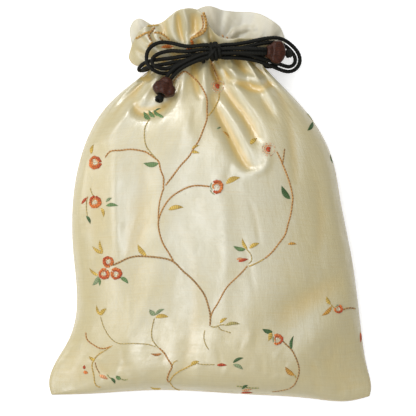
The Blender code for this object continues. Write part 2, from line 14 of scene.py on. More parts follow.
import bmesh
import bpy
import numpy as np
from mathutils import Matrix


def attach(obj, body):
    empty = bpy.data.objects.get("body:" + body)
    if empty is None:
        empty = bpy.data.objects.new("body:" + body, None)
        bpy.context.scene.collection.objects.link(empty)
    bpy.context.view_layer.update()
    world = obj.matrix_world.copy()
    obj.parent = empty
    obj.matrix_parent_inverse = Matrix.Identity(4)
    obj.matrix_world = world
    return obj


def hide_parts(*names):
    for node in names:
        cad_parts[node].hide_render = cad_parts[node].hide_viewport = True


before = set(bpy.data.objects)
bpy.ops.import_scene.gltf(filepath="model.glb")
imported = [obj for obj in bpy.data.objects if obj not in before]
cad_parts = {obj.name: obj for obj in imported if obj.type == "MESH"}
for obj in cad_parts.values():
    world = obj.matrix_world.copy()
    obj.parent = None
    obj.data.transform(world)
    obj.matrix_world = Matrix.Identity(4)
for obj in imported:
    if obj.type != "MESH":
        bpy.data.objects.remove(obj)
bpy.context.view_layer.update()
print("solids:", ", ".join(sorted(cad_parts)))

# %% [markdown]
# ## The camera
#
# The bag is seen from straight above, with the mouth at the top of the picture. A long lens from
# far away keeps the outline free of perspective, so that a millimetre on the bag is the same
# length anywhere in the picture. A camera that looks along -Z needs no turning at all.

# %% Set up the camera
PICTURE_WIDTH = 0.3594  # metres of bag that the picture shows from side to side
CAMERA_HEIGHT = 2.40
CLOTH_HEIGHT = 0.020
lens_data = bpy.data.cameras.new("camera")
lens_data.sensor_width = 36.0
lens_data.lens = lens_data.sensor_width * (CAMERA_HEIGHT - CLOTH_HEIGHT) / PICTURE_WIDTH
camera = bpy.data.objects.new("camera", lens_data)
camera.location = (-0.0017, -0.0035, CAMERA_HEIGHT)
bpy.context.scene.collection.objects.link(camera)
bpy.context.scene.camera = camera
print(f"lens: {lens_data.lens:.0f} mm")

# %% [markdown]
# ## Reckoning with shader sockets
#
# A material is a small calculation, and nodes are a slow way to write one. The class below wraps a
# socket so that `2 * weave + 1` adds the Math nodes by itself. Any other kind of node comes from
# one method, `node`, which takes the node's type, its settings and the values of its inputs.

# %% A socket that can be added and multiplied, and a material that makes nodes
class Value:
    """A number on its way through a material. Sums and products with it add Math nodes."""

    def __init__(self, finish, socket):
        self.finish, self.socket = finish, socket

    def math(self, operation, *terms):
        return self.finish.node("ShaderNodeMath", {"operation": operation}, dict(enumerate(terms)))

    def __add__(self, other):
        return self.math("ADD", self, other)

    def __sub__(self, other):
        return self.math("SUBTRACT", self, other)

    def __rsub__(self, other):
        return self.math("SUBTRACT", other, self)

    def __mul__(self, other):
        return self.math("MULTIPLY", self, other)

    def sine(self):
        return self.math("SINE", self)

    __radd__, __rmul__ = __add__, __mul__


class Finish:
    """A material with one Principled shader, whose nodes are added as they are needed."""

    def __init__(self, name):
        self.material = bpy.data.materials.new(name)
        self.material.use_nodes = True
        self.tree = self.material.node_tree
        self.shader = self.tree.nodes["Principled BSDF"]

    def plug(self, socket, value):
        """Gives a socket its value: a link from a Value, and otherwise a constant."""
        if isinstance(value, Value):
            self.tree.links.new(value.socket, socket)
        elif isinstance(value, tuple) and socket.type == "RGBA":
            socket.default_value = (*value[:3], 1.0)
        else:
            socket.default_value = value

    def node(self, kind, settings=None, inputs=None, output=0):
        """Any node: its settings are set first, and then the values or links of its sockets."""
        made = self.tree.nodes.new(kind)
        for name, value in (settings or {}).items():
            setattr(made, name, value)
        for name, value in (inputs or {}).items():
            self.plug(made.inputs[name], value)
        return Value(self, made.outputs[output])

    def mix(self, share, first, second, blend="MIX"):
        """The colour that lies between two colours. A colour mix has its share at input 0, its two
        colours at inputs 6 and 7, and its result at output 2."""
        settings = {"data_type": "RGBA", "blend_type": blend, "clamp_factor": True}
        return self.node("ShaderNodeMix", settings, {0: share, 6: first, 7: second}, output=2)

    def between(self, value, low, high):
        """0 below low, 1 above high, and a smooth rise between them."""
        settings = {"interpolation_type": "SMOOTHSTEP"}
        return self.node("ShaderNodeMapRange", settings, {"Value": value, 1: low, 2: high})

    def place(self, stretch=(1.0, 1.0, 1.0), uv=None):
        """Object coordinates, or the named UV map, multiplied by stretch."""
        if uv:
            source = self.node("ShaderNodeUVMap", {"uv_map": uv})
        else:
            source = self.node("ShaderNodeTexCoord", output=3)
        return self.node("ShaderNodeMapping", {}, {"Vector": source, "Scale": stretch})

    def noise(self, where, scale, detail=3.0, rough=0.5):
        """Smooth cloudy noise, 0 to 1, with `scale` clouds in a metre."""
        inputs = {"Vector": where, "Scale": scale, "Detail": detail, "Roughness": rough}
        return self.node("ShaderNodeTexNoise", {}, inputs)

    def axis(self, vector, number):
        """One coordinate of a vector."""
        return self.node("ShaderNodeSeparateXYZ", {}, {0: vector}, output=number)

    def bump(self, height, depth, below=None):
        """Turns a height, 0 to 1, into a normal; depth is the height in metres."""
        inputs = {"Height": height, "Distance": depth, "Strength": 1.0}
        if below:
            inputs["Normal"] = below
        return self.node("ShaderNodeBump", {}, inputs)

    def finish(self, **sockets):
        """Plugs the shader's own sockets, named with _ for a space."""
        for name, value in sockets.items():
            self.plug(self.shader.inputs[name.replace("_", " ")], value)


# %% [markdown]
# ## Light and floor
#
# Silk shows its lamps. A tall strip right above is mirrored down the middle of the bag, where the
# cloth lies level, and turns it white; a second softbox on the left whitens the shoulder there. The
# right half mirrors neither and keeps its gold. One lamp beyond the mouth and one beyond the foot
# do the same for the slopes that face them, and a small low lamp on the left models the folds.
# The world is a plain grey that lifts the shade. The floor must look white without lighting the
# bag any more strongly: a little emission that only the camera and mirror-like rays see lifts it
# to white, and the soft shadow under the bag stays.

# %% Lamps, world and floor
# Each lamp is its place, its size (across, up the picture), its power in watts and its colour.
LAMPS = {
    "key_lamp": ((-1.86, 0.20, 2.36), (1.30, 3.60), 29.0, (1.0, 1.0, 1.0)),
    "high_lamp": ((-0.03, 0.20, 3.00), (0.70, 5.20), 33.5, (0.95, 0.98, 1.0)),
    "shoulder_lamp": ((-1.10, 2.70, 2.90), (1.30, 1.20), 41.0, (0.96, 0.98, 1.0)),
    "foot_lamp": ((-0.90, -2.35, 2.80), (1.20, 1.10), 20.0, (0.96, 0.98, 1.0)),
    "side_lamp": ((-1.50, 0.30, 0.62), (0.6, 0.6), 2.6, (1.0, 0.985, 0.96)),
}
SKY = 0.33  # strength of the grey world, which the camera itself sees as white
PAPER_GLOW = 0.52  # lifts the floor to white for the camera; mirror-like rays see half of it
FLOOR_HALF = 3.0  # half a side of the floor, in metres


def lamp(name, place, size, power, colour):
    """A rectangular soft lamp at place, turned to face the middle of the bag, at the origin."""
    light = bpy.data.lights.new(name, "AREA")
    light.shape = "RECTANGLE"
    light.size, light.size_y = size
    light.energy, light.color = power, colour
    made = bpy.data.objects.new(name, light)
    x, y, z = place
    made.location = place
    made.rotation_euler = (math.atan2(-y, math.hypot(x, z)), math.atan2(x, z), 0.0)
    bpy.context.scene.collection.objects.link(made)


for name, settings in LAMPS.items():
    lamp(name, *settings)

world = bpy.data.worlds.new("studio")
world.use_nodes = True
bpy.context.scene.world = world
sky = world.node_tree.nodes["Background"]
sky.inputs["Strength"].default_value = SKY
rays = world.node_tree.nodes.new("ShaderNodeLightPath")
seen = world.node_tree.nodes.new("ShaderNodeMix")
seen.data_type = "RGBA"
seen.inputs[6].default_value = (1.0, 1.0, 1.0, 1.0)
seen.inputs[7].default_value = (1 / SKY, 1 / SKY, 1 / SKY, 1.0)
world.node_tree.links.new(rays.outputs["Is Camera Ray"], seen.inputs[0])
world.node_tree.links.new(seen.outputs[2], sky.inputs["Color"])

paper = Finish("white_paper")
grain = paper.noise(paper.place(), 900.0)
camera_ray = paper.node("ShaderNodeLightPath", output=0)
mirror_ray = paper.node("ShaderNodeLightPath", output=3)
paper.finish(
    Base_Color=(0.80, 0.80, 0.80),
    Roughness=grain * 0.1 + 0.7,
    Specular_IOR_Level=0.0,
    Emission_Color=(1.0, 1.0, 1.0),
    Emission_Strength=(camera_ray + mirror_ray * 0.5) * PAPER_GLOW,
)
ways = ((-1, -1), (1, -1), (1, 1), (-1, 1))
floor_mesh = bpy.data.meshes.new("floor")
floor_mesh.from_pydata([(x * FLOOR_HALF, y * FLOOR_HALF, 0) for x, y in ways], [], [(0, 1, 2, 3)])
floor_mesh.materials.append(paper.material)
floor = bpy.data.objects.new("floor", floor_mesh)
bpy.context.scene.collection.objects.link(floor)
bpy.context.scene.view_settings.view_transform = "Standard"
print("lamps:", ", ".join(LAMPS))

# %% [markdown]
# ## Curves and tubes
#
# Almost everything on this bag is a long thin thing: cords, embroidery threads, even a leaf, which
# is a flat tube that is wide in its middle. So one function makes them all. It carries a ring of
# points along a path. The ring must not spin as the path bends, so each frame is the last one
# turned by the bend alone.

# %% A smooth curve through points, and even steps along it
def along(path):
    """The distance from the start of a path to each of its points."""
    return np.concatenate([[0.0], np.cumsum(np.linalg.norm(np.diff(path, axis=0), axis=1))])


def spline(points):
    """A natural cubic spline through points, as a function of t, 0 to 1 along its length: between
    two points it is the straight line plus a cubic bulge, chosen so that slope and bend match."""
    p = np.array(points, float)
    s = along(p)
    s /= s[-1]
    h = np.diff(s)
    matrix, right = np.eye(len(p)), np.zeros_like(p)
    for i in range(1, len(p) - 1):
        matrix[i, i - 1 : i + 2] = h[i - 1], 2 * (h[i - 1] + h[i]), h[i]
        right[i] = 6 * ((p[i + 1] - p[i]) / h[i] - (p[i] - p[i - 1]) / h[i - 1])
    bend = np.linalg.solve(matrix, right)

    def at(t):
        t = np.clip(np.asarray(t, float), 0.0, 1.0)
        i = np.clip(np.searchsorted(s, t, side="right") - 1, 0, len(h) - 1)
        step = h[i][..., None]
        a = (s[i + 1] - t)[..., None] / step
        b = 1.0 - a
        curve = (a**3 - a) * bend[i] + (b**3 - b) * bend[i + 1]
        return a * p[i] + b * p[i + 1] + curve * step**2 / 6

    return at


def smooth_step(value, low, high):
    """0 below low, 1 above high, and a smooth rise between them."""
    t = np.clip((value - low) / (high - low), 0.0, 1.0)
    return t * t * (3 - 2 * t)


def even_path(points, step):
    """A smooth path through points, with its own points `step` apart."""
    fine = spline(points)(np.linspace(0.0, 1.0, 600))
    s = along(fine)
    count = max(4, round(s[-1] / step) + 1)
    marks = np.linspace(0.0, s[-1], count)
    return np.stack([np.interp(marks, s, fine[:, k]) for k in range(3)], axis=1)


def unit(vectors):
    """The vectors at length 1."""
    return vectors / np.maximum(np.linalg.norm(vectors, axis=-1, keepdims=True), 1e-12)


def carried_frame(path):
    """Two directions across a path at each point, carried along it without spinning."""
    forward = unit(np.gradient(path, axis=0))
    side = np.zeros_like(path)
    start = np.cross(forward[0], (0.0, 0.0, 1.0))
    side[0] = unit(start if np.linalg.norm(start) > 0.05 else np.cross(forward[0], (1.0, 0.0, 0.0)))
    for i in range(1, len(path)):
        side[i] = unit(side[i - 1] - forward[i] * (side[i - 1] @ forward[i]))
    return side, np.cross(side, forward)


# %% Patches of mesh, and the pieces made of them
class Patch:
    """Points, four-cornered faces, their place on the cloth (uv, metres) and their colour: a
    thread's dye, or a panel's painted shade and highlight.
    """

    def __init__(self, points, faces, uv, dye):
        self.points, self.faces, self.uv, self.dye = points, faces, uv, dye


def joined(patches):
    """One patch out of many: their arrays end to end, with the face numbers moved on."""
    starts = np.cumsum([0] + [len(patch.points) for patch in patches])
    return Patch(
        np.concatenate([patch.points for patch in patches]),
        np.concatenate([patch.faces + start for patch, start in zip(patches, starts)]),
        np.concatenate([patch.uv for patch in patches]),
        np.concatenate([patch.dye for patch in patches]),
    )


def grid_faces(rows, columns, wrap=False):
    """The faces of a grid of points; with wrap, its last column joins its first."""
    number = np.arange(rows * columns).reshape(rows, columns)
    after = np.roll(number, -1, axis=1)
    last = columns if wrap else columns - 1
    corners = number[:-1], after[:-1], after[1:], number[1:]
    return np.stack([c[:, :last].reshape(-1) for c in corners], axis=1)


def grid_uv(across, down):
    """Pairs of cloth coordinates for a grid, from one value for each column and one for each row."""
    return np.stack(np.broadcast_arrays(across[None, :], down[:, None]), axis=-1).reshape(-1, 2)


def tube(path, across, up, wide, thick, sides, dye=(1.0, 1.0, 1.0), relief=None):
    """A closed tube: each ring is path + wide cos(a) across + thick sin(a) up, and a ring of no size
    closes each end. Radii that shrink there, as blunt gives them, make the ends round. relief is a
    function of the distance along the path and of the angle, and scales both radii."""
    s, angle = along(path), np.linspace(0.0, 2 * math.pi, sides, endpoint=False)
    wide, thick = np.broadcast_to(wide, len(path)), np.broadcast_to(thick, len(path))
    scale = np.ones((len(path), sides)) if relief is None else relief(s[:, None], angle[None, :])
    out = wide[:, None, None] * np.cos(angle)[None, :, None] * across[:, None]
    out = out + thick[:, None, None] * np.sin(angle)[None, :, None] * up[:, None]
    points = path[:, None] + scale[..., None] * out
    ends = [np.repeat(path[i][None, None], sides, axis=1) for i in (0, -1)]
    points = np.concatenate([ends[0], points, ends[1]])
    s = np.concatenate([s[:1], s, s[-1:]])
    uv = grid_uv(angle * float(np.max(wide)), s)
    faces = grid_faces(len(path) + 2, sides, wrap=True)
    colours = np.broadcast_to(np.array(dye, float), (points.shape[0] * sides, 3))
    return Patch(points.reshape(-1, 3), faces, uv, colours)


def blunt(count, ends=4):
    """The share of the full radius at each of count rings: the root of 1 - (1 - x) squared, a
    quarter of a circle, over the rings at either end."""
    ring = np.arange(count)
    reach = np.clip(np.minimum(ring, ring[::-1]) / ends, 0.0, 1.0)
    return np.sqrt(1 - (1 - reach) ** 2).clip(0.05)


def piece(name, patch, *materials, body="root"):
    """A new object of this patch, smoothly shaded. It has a uv map called cloth, in metres, and a
    colour attribute called dye, which holds a thread's dye or a panel's painted
    shade and highlight. Points in one place become one, so that it is closed."""
    mesh = bpy.data.meshes.new(name)
    mesh.from_pydata(patch.points.tolist(), [], patch.faces.tolist())
    corner = np.empty(len(mesh.loops), np.int32)
    mesh.loops.foreach_get("vertex_index", corner)
    mesh.uv_layers.new(name="cloth").data.foreach_set("uv", patch.uv[corner].astype(np.float32).ravel())
    dye = mesh.color_attributes.new("dye", "FLOAT_COLOR", "POINT")
    rgba = np.concatenate([patch.dye, np.ones((len(patch.dye), 1))], axis=1)
    dye.data.foreach_set("color", rgba.astype(np.float32).ravel())
    for material in materials:
        mesh.materials.append(material)
    made = bpy.data.objects.new(name, mesh)
    bpy.context.scene.collection.objects.link(made)
    weld(mesh)
    mesh.shade_smooth()
    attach(made, body)
    print(f"{name}: {len(mesh.polygons)} faces")
    return made


def weld(mesh):
    """Joins points that are in one place, and turns the faces outwards."""
    work = bmesh.new()
    work.from_mesh(mesh)
    bmesh.ops.remove_doubles(work, verts=work.verts, dist=1e-7)
    bmesh.ops.dissolve_degenerate(work, edges=work.edges, dist=1e-8)
    bmesh.ops.recalc_face_normals(work, faces=work.faces)
    work.to_mesh(mesh)
    work.free()


# %% [markdown]
# ## The braided cord
#
# The drawstring is a round braid of black rayon, about 3.2 mm thick. Sixteen small bundles cross
# each other in two spirals, one to the left and one to the right, and each bundle shows as a small
# oval bump. The bumps are real here: the radius of the tube rises and falls with the product of
# two waves, one along each spiral.
#
# The cord is in twelve strands: on each side two come out of the eye in the seam, two make a loop
# of the bow, and two carry a bead. Their routes are those of the solid model, in millimetres.

# %% The routes of the cords
CORD = 0.0032
ROUTES = {
    "left_draw_upper": [
        (-46.0, 119.4, 14.3), (-50.0, 118.2, 14.1), (-54.2, 116.8, 15.2), (-57.2, 116.2, 18.4),
        (-57.4, 116.4, 22.6), (-54.8, 117.2, 26.2), (-50.0, 118.4, 27.8), (-44.0, 119.6, 27.6),
        (-38.0, 120.7, 26.6), (-30.0, 122.2, 25.5), (-20.0, 124.0, 24.7), (-11.0, 125.6, 24.0),
        (-1.9, 126.3, 23.8),
    ],
    "left_draw_lower": [
        (-46.0, 119.4, 10.7), (-50.0, 118.2, 10.5), (-56.0, 116.2, 11.0), (-60.2, 115.6, 14.0),
        (-61.4, 116.4, 18.6), (-60.2, 118.6, 22.6), (-56.8, 121.2, 24.8), (-51.0, 123.2, 25.6),
        (-42.0, 124.7, 25.2), (-32.0, 126.0, 24.8), (-22.0, 127.5, 24.6), (-12.0, 129.0, 24.0),
        (-1.9, 129.8, 23.8),
    ],
    "left_loop_outer": [
        (-1.9, 136.8, 26.0), (-9.0, 136.6, 25.4), (-17.5, 135.8, 25.2), (-26.0, 137.0, 24.8),
        (-34.5, 139.0, 24.0), (-42.0, 139.3, 24.6), (-49.0, 136.8, 25.6), (-53.6, 131.5, 26.6),
        (-54.6, 125.0, 28.8), (-52.8, 119.0, 31.3), (-48.4, 115.0, 31.4), (-43.0, 112.8, 29.0),
        (-37.0, 112.4, 27.4), (-30.0, 114.8, 28.0), (-22.0, 118.9, 28.4), (-13.0, 122.4, 28.0),
        (-6.0, 125.2, 27.5), (-1.9, 126.3, 27.3),
    ],
    "left_loop_inner": [
        (-1.9, 133.3, 26.0), (-9.0, 132.9, 25.6), (-18.0, 131.6, 26.0), (-26.0, 131.6, 26.0),
        (-33.0, 132.0, 25.4), (-40.5, 130.8, 25.8), (-46.6, 128.0, 27.6), (-49.8, 124.0, 30.2),
        (-49.0, 119.8, 32.2), (-44.4, 117.2, 31.8), (-38.0, 116.4, 29.8), (-30.0, 119.0, 28.8),
        (-21.0, 123.6, 28.4), (-11.0, 127.6, 27.8), (-1.9, 129.8, 27.3),
    ],
    "left_tail_lower": [
        (-1.9, 126.3, 30.8), (-9.0, 124.0, 31.6), (-17.0, 120.5, 32.2), (-25.0, 116.2, 32.0),
        (-30.4, 111.3, 31.3), (-34.7, 106.4, 31.8), (-37.5, 99.7, 34.6), (-40.3, 93.0, 37.5),
    ],
    "left_tail_upper": [
        (-1.9, 129.8, 30.8), (-9.0, 127.8, 31.6), (-17.0, 124.3, 32.2), (-25.0, 120.2, 32.4),
        (-33.0, 114.6, 32.0), (-37.9, 107.8, 31.8), (-40.7, 101.1, 34.6), (-43.5, 94.4, 37.5),
    ],
    "right_draw_upper": [
        (42.5, 120.3, 14.3), (47.0, 119.5, 14.2), (51.5, 119.5, 15.0), (54.8, 121.3, 16.8),
        (55.6, 124.4, 19.0), (53.0, 127.2, 20.8), (48.0, 128.4, 22.0), (40.0, 128.1, 23.0),
        (30.0, 126.9, 23.6), (20.0, 126.3, 23.8), (10.5, 126.3, 23.8),
    ],
    "right_draw_lower": [
        (42.5, 120.3, 10.7), (47.5, 119.4, 10.5), (53.5, 119.2, 11.6), (58.4, 121.2, 14.0),
        (59.4, 124.8, 16.4), (57.2, 128.4, 18.2), (52.6, 131.0, 19.6), (46.0, 132.0, 21.2),
        (38.0, 131.4, 23.2), (28.0, 130.3, 23.8), (19.0, 129.8, 23.8), (10.5, 129.8, 23.8),
    ],
    "right_loop_outer": [
        (10.5, 136.8, 26.8), (18.0, 137.2, 27.2), (26.0, 138.2, 26.8), (39.0, 140.8, 25.8),
        (52.0, 143.2, 24.0), (61.0, 142.8, 20.4), (68.0, 139.6, 15.6), (73.6, 134.8, 11.6),
        (77.4, 128.8, 8.8), (77.8, 122.6, 7.8), (74.4, 117.2, 8.4), (68.6, 114.8, 11.2),
        (62.0, 115.8, 15.2), (55.5, 118.2, 19.4), (48.5, 120.8, 22.6), (41.0, 123.2, 25.2),
        (33.0, 124.8, 26.8), (24.0, 125.8, 27.6), (16.0, 126.3, 27.5), (10.5, 126.3, 27.3),
    ],
    "right_loop_inner": [
        (10.5, 133.3, 26.4), (18.0, 133.6, 26.8), (26.0, 134.4, 26.4), (39.0, 137.1, 25.6),
        (51.0, 139.4, 23.6), (60.0, 138.9, 19.8), (66.4, 135.8, 15.4), (71.2, 131.2, 12.4),
        (73.8, 126.2, 11.0), (73.2, 121.8, 11.2), (69.8, 119.2, 12.8), (64.0, 119.6, 16.4),
        (57.6, 121.6, 20.4), (51.0, 123.6, 23.6), (44.0, 125.4, 26.2), (37.0, 127.6, 27.8),
        (28.0, 129.2, 27.8), (19.0, 129.8, 27.4), (10.5, 129.8, 27.3),
    ],
    "right_tail_lower": [
        (10.5, 129.8, 30.8), (19.0, 130.0, 31.5), (28.0, 130.0, 31.9), (37.0, 129.7, 31.7),
        (44.0, 129.6, 30.7), (48.3, 129.6, 29.5), (56.0, 128.9, 27.1), (63.6, 128.3, 24.7),
    ],
    "right_tail_upper": [
        (10.5, 133.3, 30.8), (19.0, 133.6, 31.4), (28.0, 133.6, 31.8), (37.0, 133.4, 31.6),
        (44.0, 133.3, 30.7), (48.6, 133.1, 29.5), (56.3, 132.4, 27.1), (63.9, 131.8, 24.7),
    ],
}
KNOT = np.array([0.0043, 0.1315, 0.0273])  # the middle of the bow's knot
KNOT_REACH = 0.0075  # a strand that ends this near to the knot's middle, along x, runs on into it
INTO_KNOT = 0.0040  # how far each strand runs on inside the knot

# %% The finish of the black cord
black = Finish("black_cord")
turns = black.place(uv="cloth")
fibre = black.noise(black.place((2600.0, 2600.0, 900.0)), 1.0, 2.0)
bundles = (black.axis(turns, 0) * 3900.0).sine() * (black.axis(turns, 1) * 3900.0).sine()
tone = black.between(fibre + bundles * 0.25, 0.25, 0.85)
black.finish(
    Base_Color=black.mix(tone, (0.0018, 0.0018, 0.0009), (0.0085, 0.0080, 0.0046)),
    Roughness=fibre * 0.25 + 0.52,
    Specular_IOR_Level=0.20,
    Sheen_Weight=0.02,
    Sheen_Roughness=0.45,
    Sheen_Tint=(0.8, 0.85, 0.8),
    Normal=black.bump(fibre, 0.00012),
)


# %% Make the strands
BRAID = 8  # bundles that run each way round
BRAID_PITCH = 0.0052  # length of cord for one ripple
BRAID_DEPTH = 0.105  # height of a bundle, as a share of the radius
CORD_SIDES, CORD_STEP = 18, 0.0004


def braid(s, angle):
    """Bumps of two crossing spirals: 1 + depth times wave(k angle + s) wave(k angle - s)."""
    wind = 2 * math.pi * s / BRAID_PITCH
    left, right = np.cos(BRAID / 2 * angle + wind), np.cos(BRAID / 2 * angle - wind)
    return 1.0 + BRAID_DEPTH * (left * right)


def strand_path(name):
    """The strand's points, CORD_STEP apart, run on a little way into the knot where it ends there."""
    points = [np.array(p) / 1000 for p in ROUTES[name]]
    for i in (0, -1):
        if abs(points[i][0] - KNOT[0]) < KNOT_REACH:
            inward = points[i] + 0.22 * (KNOT - points[i])
            inward[0] = points[i][0] + math.copysign(INTO_KNOT, KNOT[0] - points[i][0])
            points = [inward, *points] if i == 0 else [*points, inward]
    return even_path(points, CORD_STEP)


strands = {}
paths = {}
for name in ROUTES:
    path = strand_path(name)
    across, up = carried_frame(path)
    radius = CORD / 2 * blunt(len(path))
    braided = tube(path, across, up, radius, radius, CORD_SIDES, relief=braid)
    strands[name] = piece(name + "_braid", braided, black.material)
    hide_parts(name)
    paths[name] = path
print("cord in all:", round(sum(along(path)[-1] for path in paths.values()), 3), "m")

# %% [markdown]
# ## Beads, stoppers and the knot
#
# Each pair of cords ends in a turned bead of dark red-brown wood, with a lobed rim and a groove
# round its waist, and a small black knot behind it stops the bead. The knot of the bow is the cord
# itself: it is wound two and a half times round the strands, with a slanting turn over that, a
# small lump above and another at the lower left.

# %% Places of the beads: the middle of each end, cord side first
BEADS = {
    "left_bead": ((-0.0363, 0.1071, 0.0317), (-0.0419, 0.0937, 0.0375)),
    "right_bead": ((0.0484, 0.1313, 0.0295), (0.0637, 0.1300, 0.0247)),
}
BEAD_BORE, BEAD_RADIUS, BEAD_LENGTH = 0.0072, 0.0060, 0.0150
BEAD_BELLY, BEAD_SPREAD = 0.0066, 0.0120  # the radius and the spread of the dent it presses
# Knobs carved round the rim: the angle of each from the level direction, and its height
BEAD_KNOBS = [(-0.1, 0.0036), (3.05, 0.0046)]
STOPPER = 0.0078  # length of a stopper knot
BEAD_SIDES, BORE_RINGS = 120, 16
# The outside of a bead: (share of the length, radius), from the cords' side to the stopper's
BEAD_PROFILE = [
    (0.00, 0.0042), (0.02, 0.0048), (0.09, 0.0053), (0.20, 0.0055), (0.27, 0.0051), (0.30, 0.0051),
    (0.37, 0.0056), (0.50, 0.0060), (0.62, 0.0064), (0.76, 0.0066), (0.86, 0.0064), (0.93, 0.0060),
    (0.98, 0.0054), (1.00, 0.0046),
]
PROFILE_LENGTH, PROFILE_STEP = 0.0100, 0.00018

# %% The finish of the turned wood
wood = Finish("bead_wood")
end_grain = wood.place((90.0, 420.0, 420.0))
rings = wood.noise(end_grain, 4.0, 4.0, 0.7)
pores = wood.noise(wood.place((700.0, 2600.0, 2600.0)), 1.0, 2.0)
tint = wood.between(rings, 0.32, 0.68)
grain_colour = wood.mix(tint, (0.014, 0.0038, 0.0020), (0.080, 0.020, 0.007))
wood.finish(
    Base_Color=wood.mix(wood.between(pores, 0.56, 0.70) * 0.6, grain_colour, (0.008, 0.003, 0.002)),
    Roughness=rings * 0.16 + 0.28,
    Specular_IOR_Level=0.18,
    Coat_Weight=0.14,
    Coat_Roughness=0.16,
    Normal=wood.bump(pores, 0.00010, wood.bump(rings, 0.00022)),
)


# %% Turn the beads
def bead(name, start, end):
    """A turned ring: its section is a closed profile of (share of the length, radius) carried round
    the axis. Each carved knob adds
    height * exp(-(angle / 0.62)^4) * exp(-((share - 0.58) / 0.34)^4)."""
    start, end = np.array(start), np.array(end)
    forward = unit(end - start)
    side = unit(np.cross(forward, (0.0, 0.0, 1.0)))
    up = np.cross(side, forward)
    ring = even_path([(s * PROFILE_LENGTH, r, 0.0) for s, r in BEAD_PROFILE], PROFILE_STEP)
    share, radius = ring[:, 0] / PROFILE_LENGTH, ring[:, 1]
    share = np.concatenate([share, np.linspace(1.0, 0.0, BORE_RINGS)]).clip(0.0, 1.0)
    radius = np.concatenate([radius, np.full(BORE_RINGS, BEAD_BORE / 2)])
    angle = np.linspace(0.0, 2 * math.pi, BEAD_SIDES, endpoint=False)
    outer = radius > BEAD_BORE / 2 + 0.0004
    belly = np.exp(-(((share - 0.58) / 0.34) ** 4)) * outer
    knobs = 0.0
    for way, tall in BEAD_KNOBS:
        knobs = knobs + tall * np.exp(-((np.angle(np.exp(1j * (angle - way))) / 0.62) ** 4))
    r = radius[:, None] - 0.0005 * belly[:, None] + belly[:, None] * knobs[None, :]
    place = start + (end - start) * share[:, None, None]
    out = np.cos(angle)[None, :, None] * side + np.sin(angle)[None, :, None] * up
    points = place + r[..., None] * out
    number = np.arange(points.shape[0] * BEAD_SIDES).reshape(-1, BEAD_SIDES)
    after, beside = np.roll(number, -1, axis=0), np.roll(number, -1, axis=1)
    corners = number, beside, np.roll(beside, -1, axis=0), after
    faces = np.stack([c.reshape(-1) for c in corners], axis=1)
    uv = grid_uv(angle * BEAD_RADIUS, share * BEAD_LENGTH)
    patch = Patch(points.reshape(-1, 3), faces, uv, np.ones((number.size, 3)))
    made = piece(name + "_wood", patch, wood.material)
    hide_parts(name)
    return made


beads = {side: bead(side + "_bead", *BEADS[side + "_bead"]) for side in ("left", "right")}


# %% Tie the stoppers and the bow's knot
def winding(middle, forward, radii, turns, thickness, reach, squash=0.0, first=0.6, lump=0.0):
    """Cord wound in a helix: middle + forward t + radii (cos a, sin a), whose radii shrink at both
    ends, so that the ends of the winding are tucked in. lump makes the turns uneven."""
    middle, forward = np.array(middle), unit(np.array(forward))
    side = unit(np.cross(forward, (0.0, 0.0, 1.0)))
    up = np.cross(side, forward)
    t = np.linspace(-1.0, 1.0, int(70 * turns))
    angle = math.pi * turns * t + first
    tuck = (1 - squash * np.abs(t) ** 3) * (1 + lump * np.sin(1.7 * angle + 0.8))
    wide, tall = radii[0] * tuck * np.cos(angle), radii[1] * tuck * np.sin(angle)
    path = middle + reach * t[:, None] * forward + wide[:, None] * side + tall[:, None] * up
    path = even_path(path[::4], CORD_STEP)
    across, lift = carried_frame(path)
    radius = thickness / 2 * blunt(len(path))
    return tube(path, across, lift, radius, radius, CORD_SIDES, relief=braid)


def tied(name, node, windings):
    """A knot of one or more windings, in place of the solid."""
    made = piece(name, joined(windings), black.material)
    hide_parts(node)
    return made


KNOT_TURNS = [
    winding(KNOT, (1.0, 0.22, 0.0), (0.0064, 0.0050), 2.6, CORD, 0.0042, lump=0.09),
    winding(
        KNOT + (-0.0020, -0.0012, 0.0006), (1.0, -0.75, 0.0), (0.0072, 0.0052), 1.1, CORD, 0.0016,
        first=1.5,
    ),
    winding(
        KNOT + (0.0012, 0.0046, 0.0040), (0.5, 1.0, 0.3), (0.0026, 0.0022), 1.5, 0.0030, 0.0014,
        first=0.2,
    ),
    winding(
        KNOT + (-0.0115, -0.0062, -0.0010), (1.0, 0.8, 0.0), (0.0034, 0.0026), 1.3, 0.0030, 0.0018,
        first=1.0,
    ),
]
bow_knot = tied("bow_knot_cord", "bow_knot", KNOT_TURNS)
for side in ("left", "right"):
    start, end = (np.array(p) for p in BEADS[side + "_bead"])
    forward = unit(end - start)
    centre = end + forward * (0.0003 + STOPPER / 2)
    turns = winding(centre, forward, (0.00235, 0.00235), 2.2, 0.0030, 0.0021, 0.35)
    tied(side + "_stopper_cord", side + "_stopper_knot", [turns])

# %% Every fourth point of each strand, listed and not used
for name, strand in strands.items():
    path = paths[name]
    side, kind = name.split("_")[:2]
    from_end = path[::-1] if kind == "draw" and abs(path[0][0]) < 0.02 else path
    from_end[::4].tolist() + [from_end[-1].tolist()]

# %% [markdown]
# ## The cloth, as one formula
#
# The pouch is two panels sewn together, so it is drawn like a pillow case. A sheet half way
# between the panels is stretched inside the four seams (a Coons patch: the average of the sides
# and of the ends, less their corners). The front rises from that sheet like a cushion and falls to
# a flat oval at the neck. The back lies on the table and curls up to the seam.
#
# Simulated cloth would wrinkle by itself, but not where this bag does, so the folds are drawn:
# each is a smooth line on the front, with a depth and a width, and the cloth sinks along it.

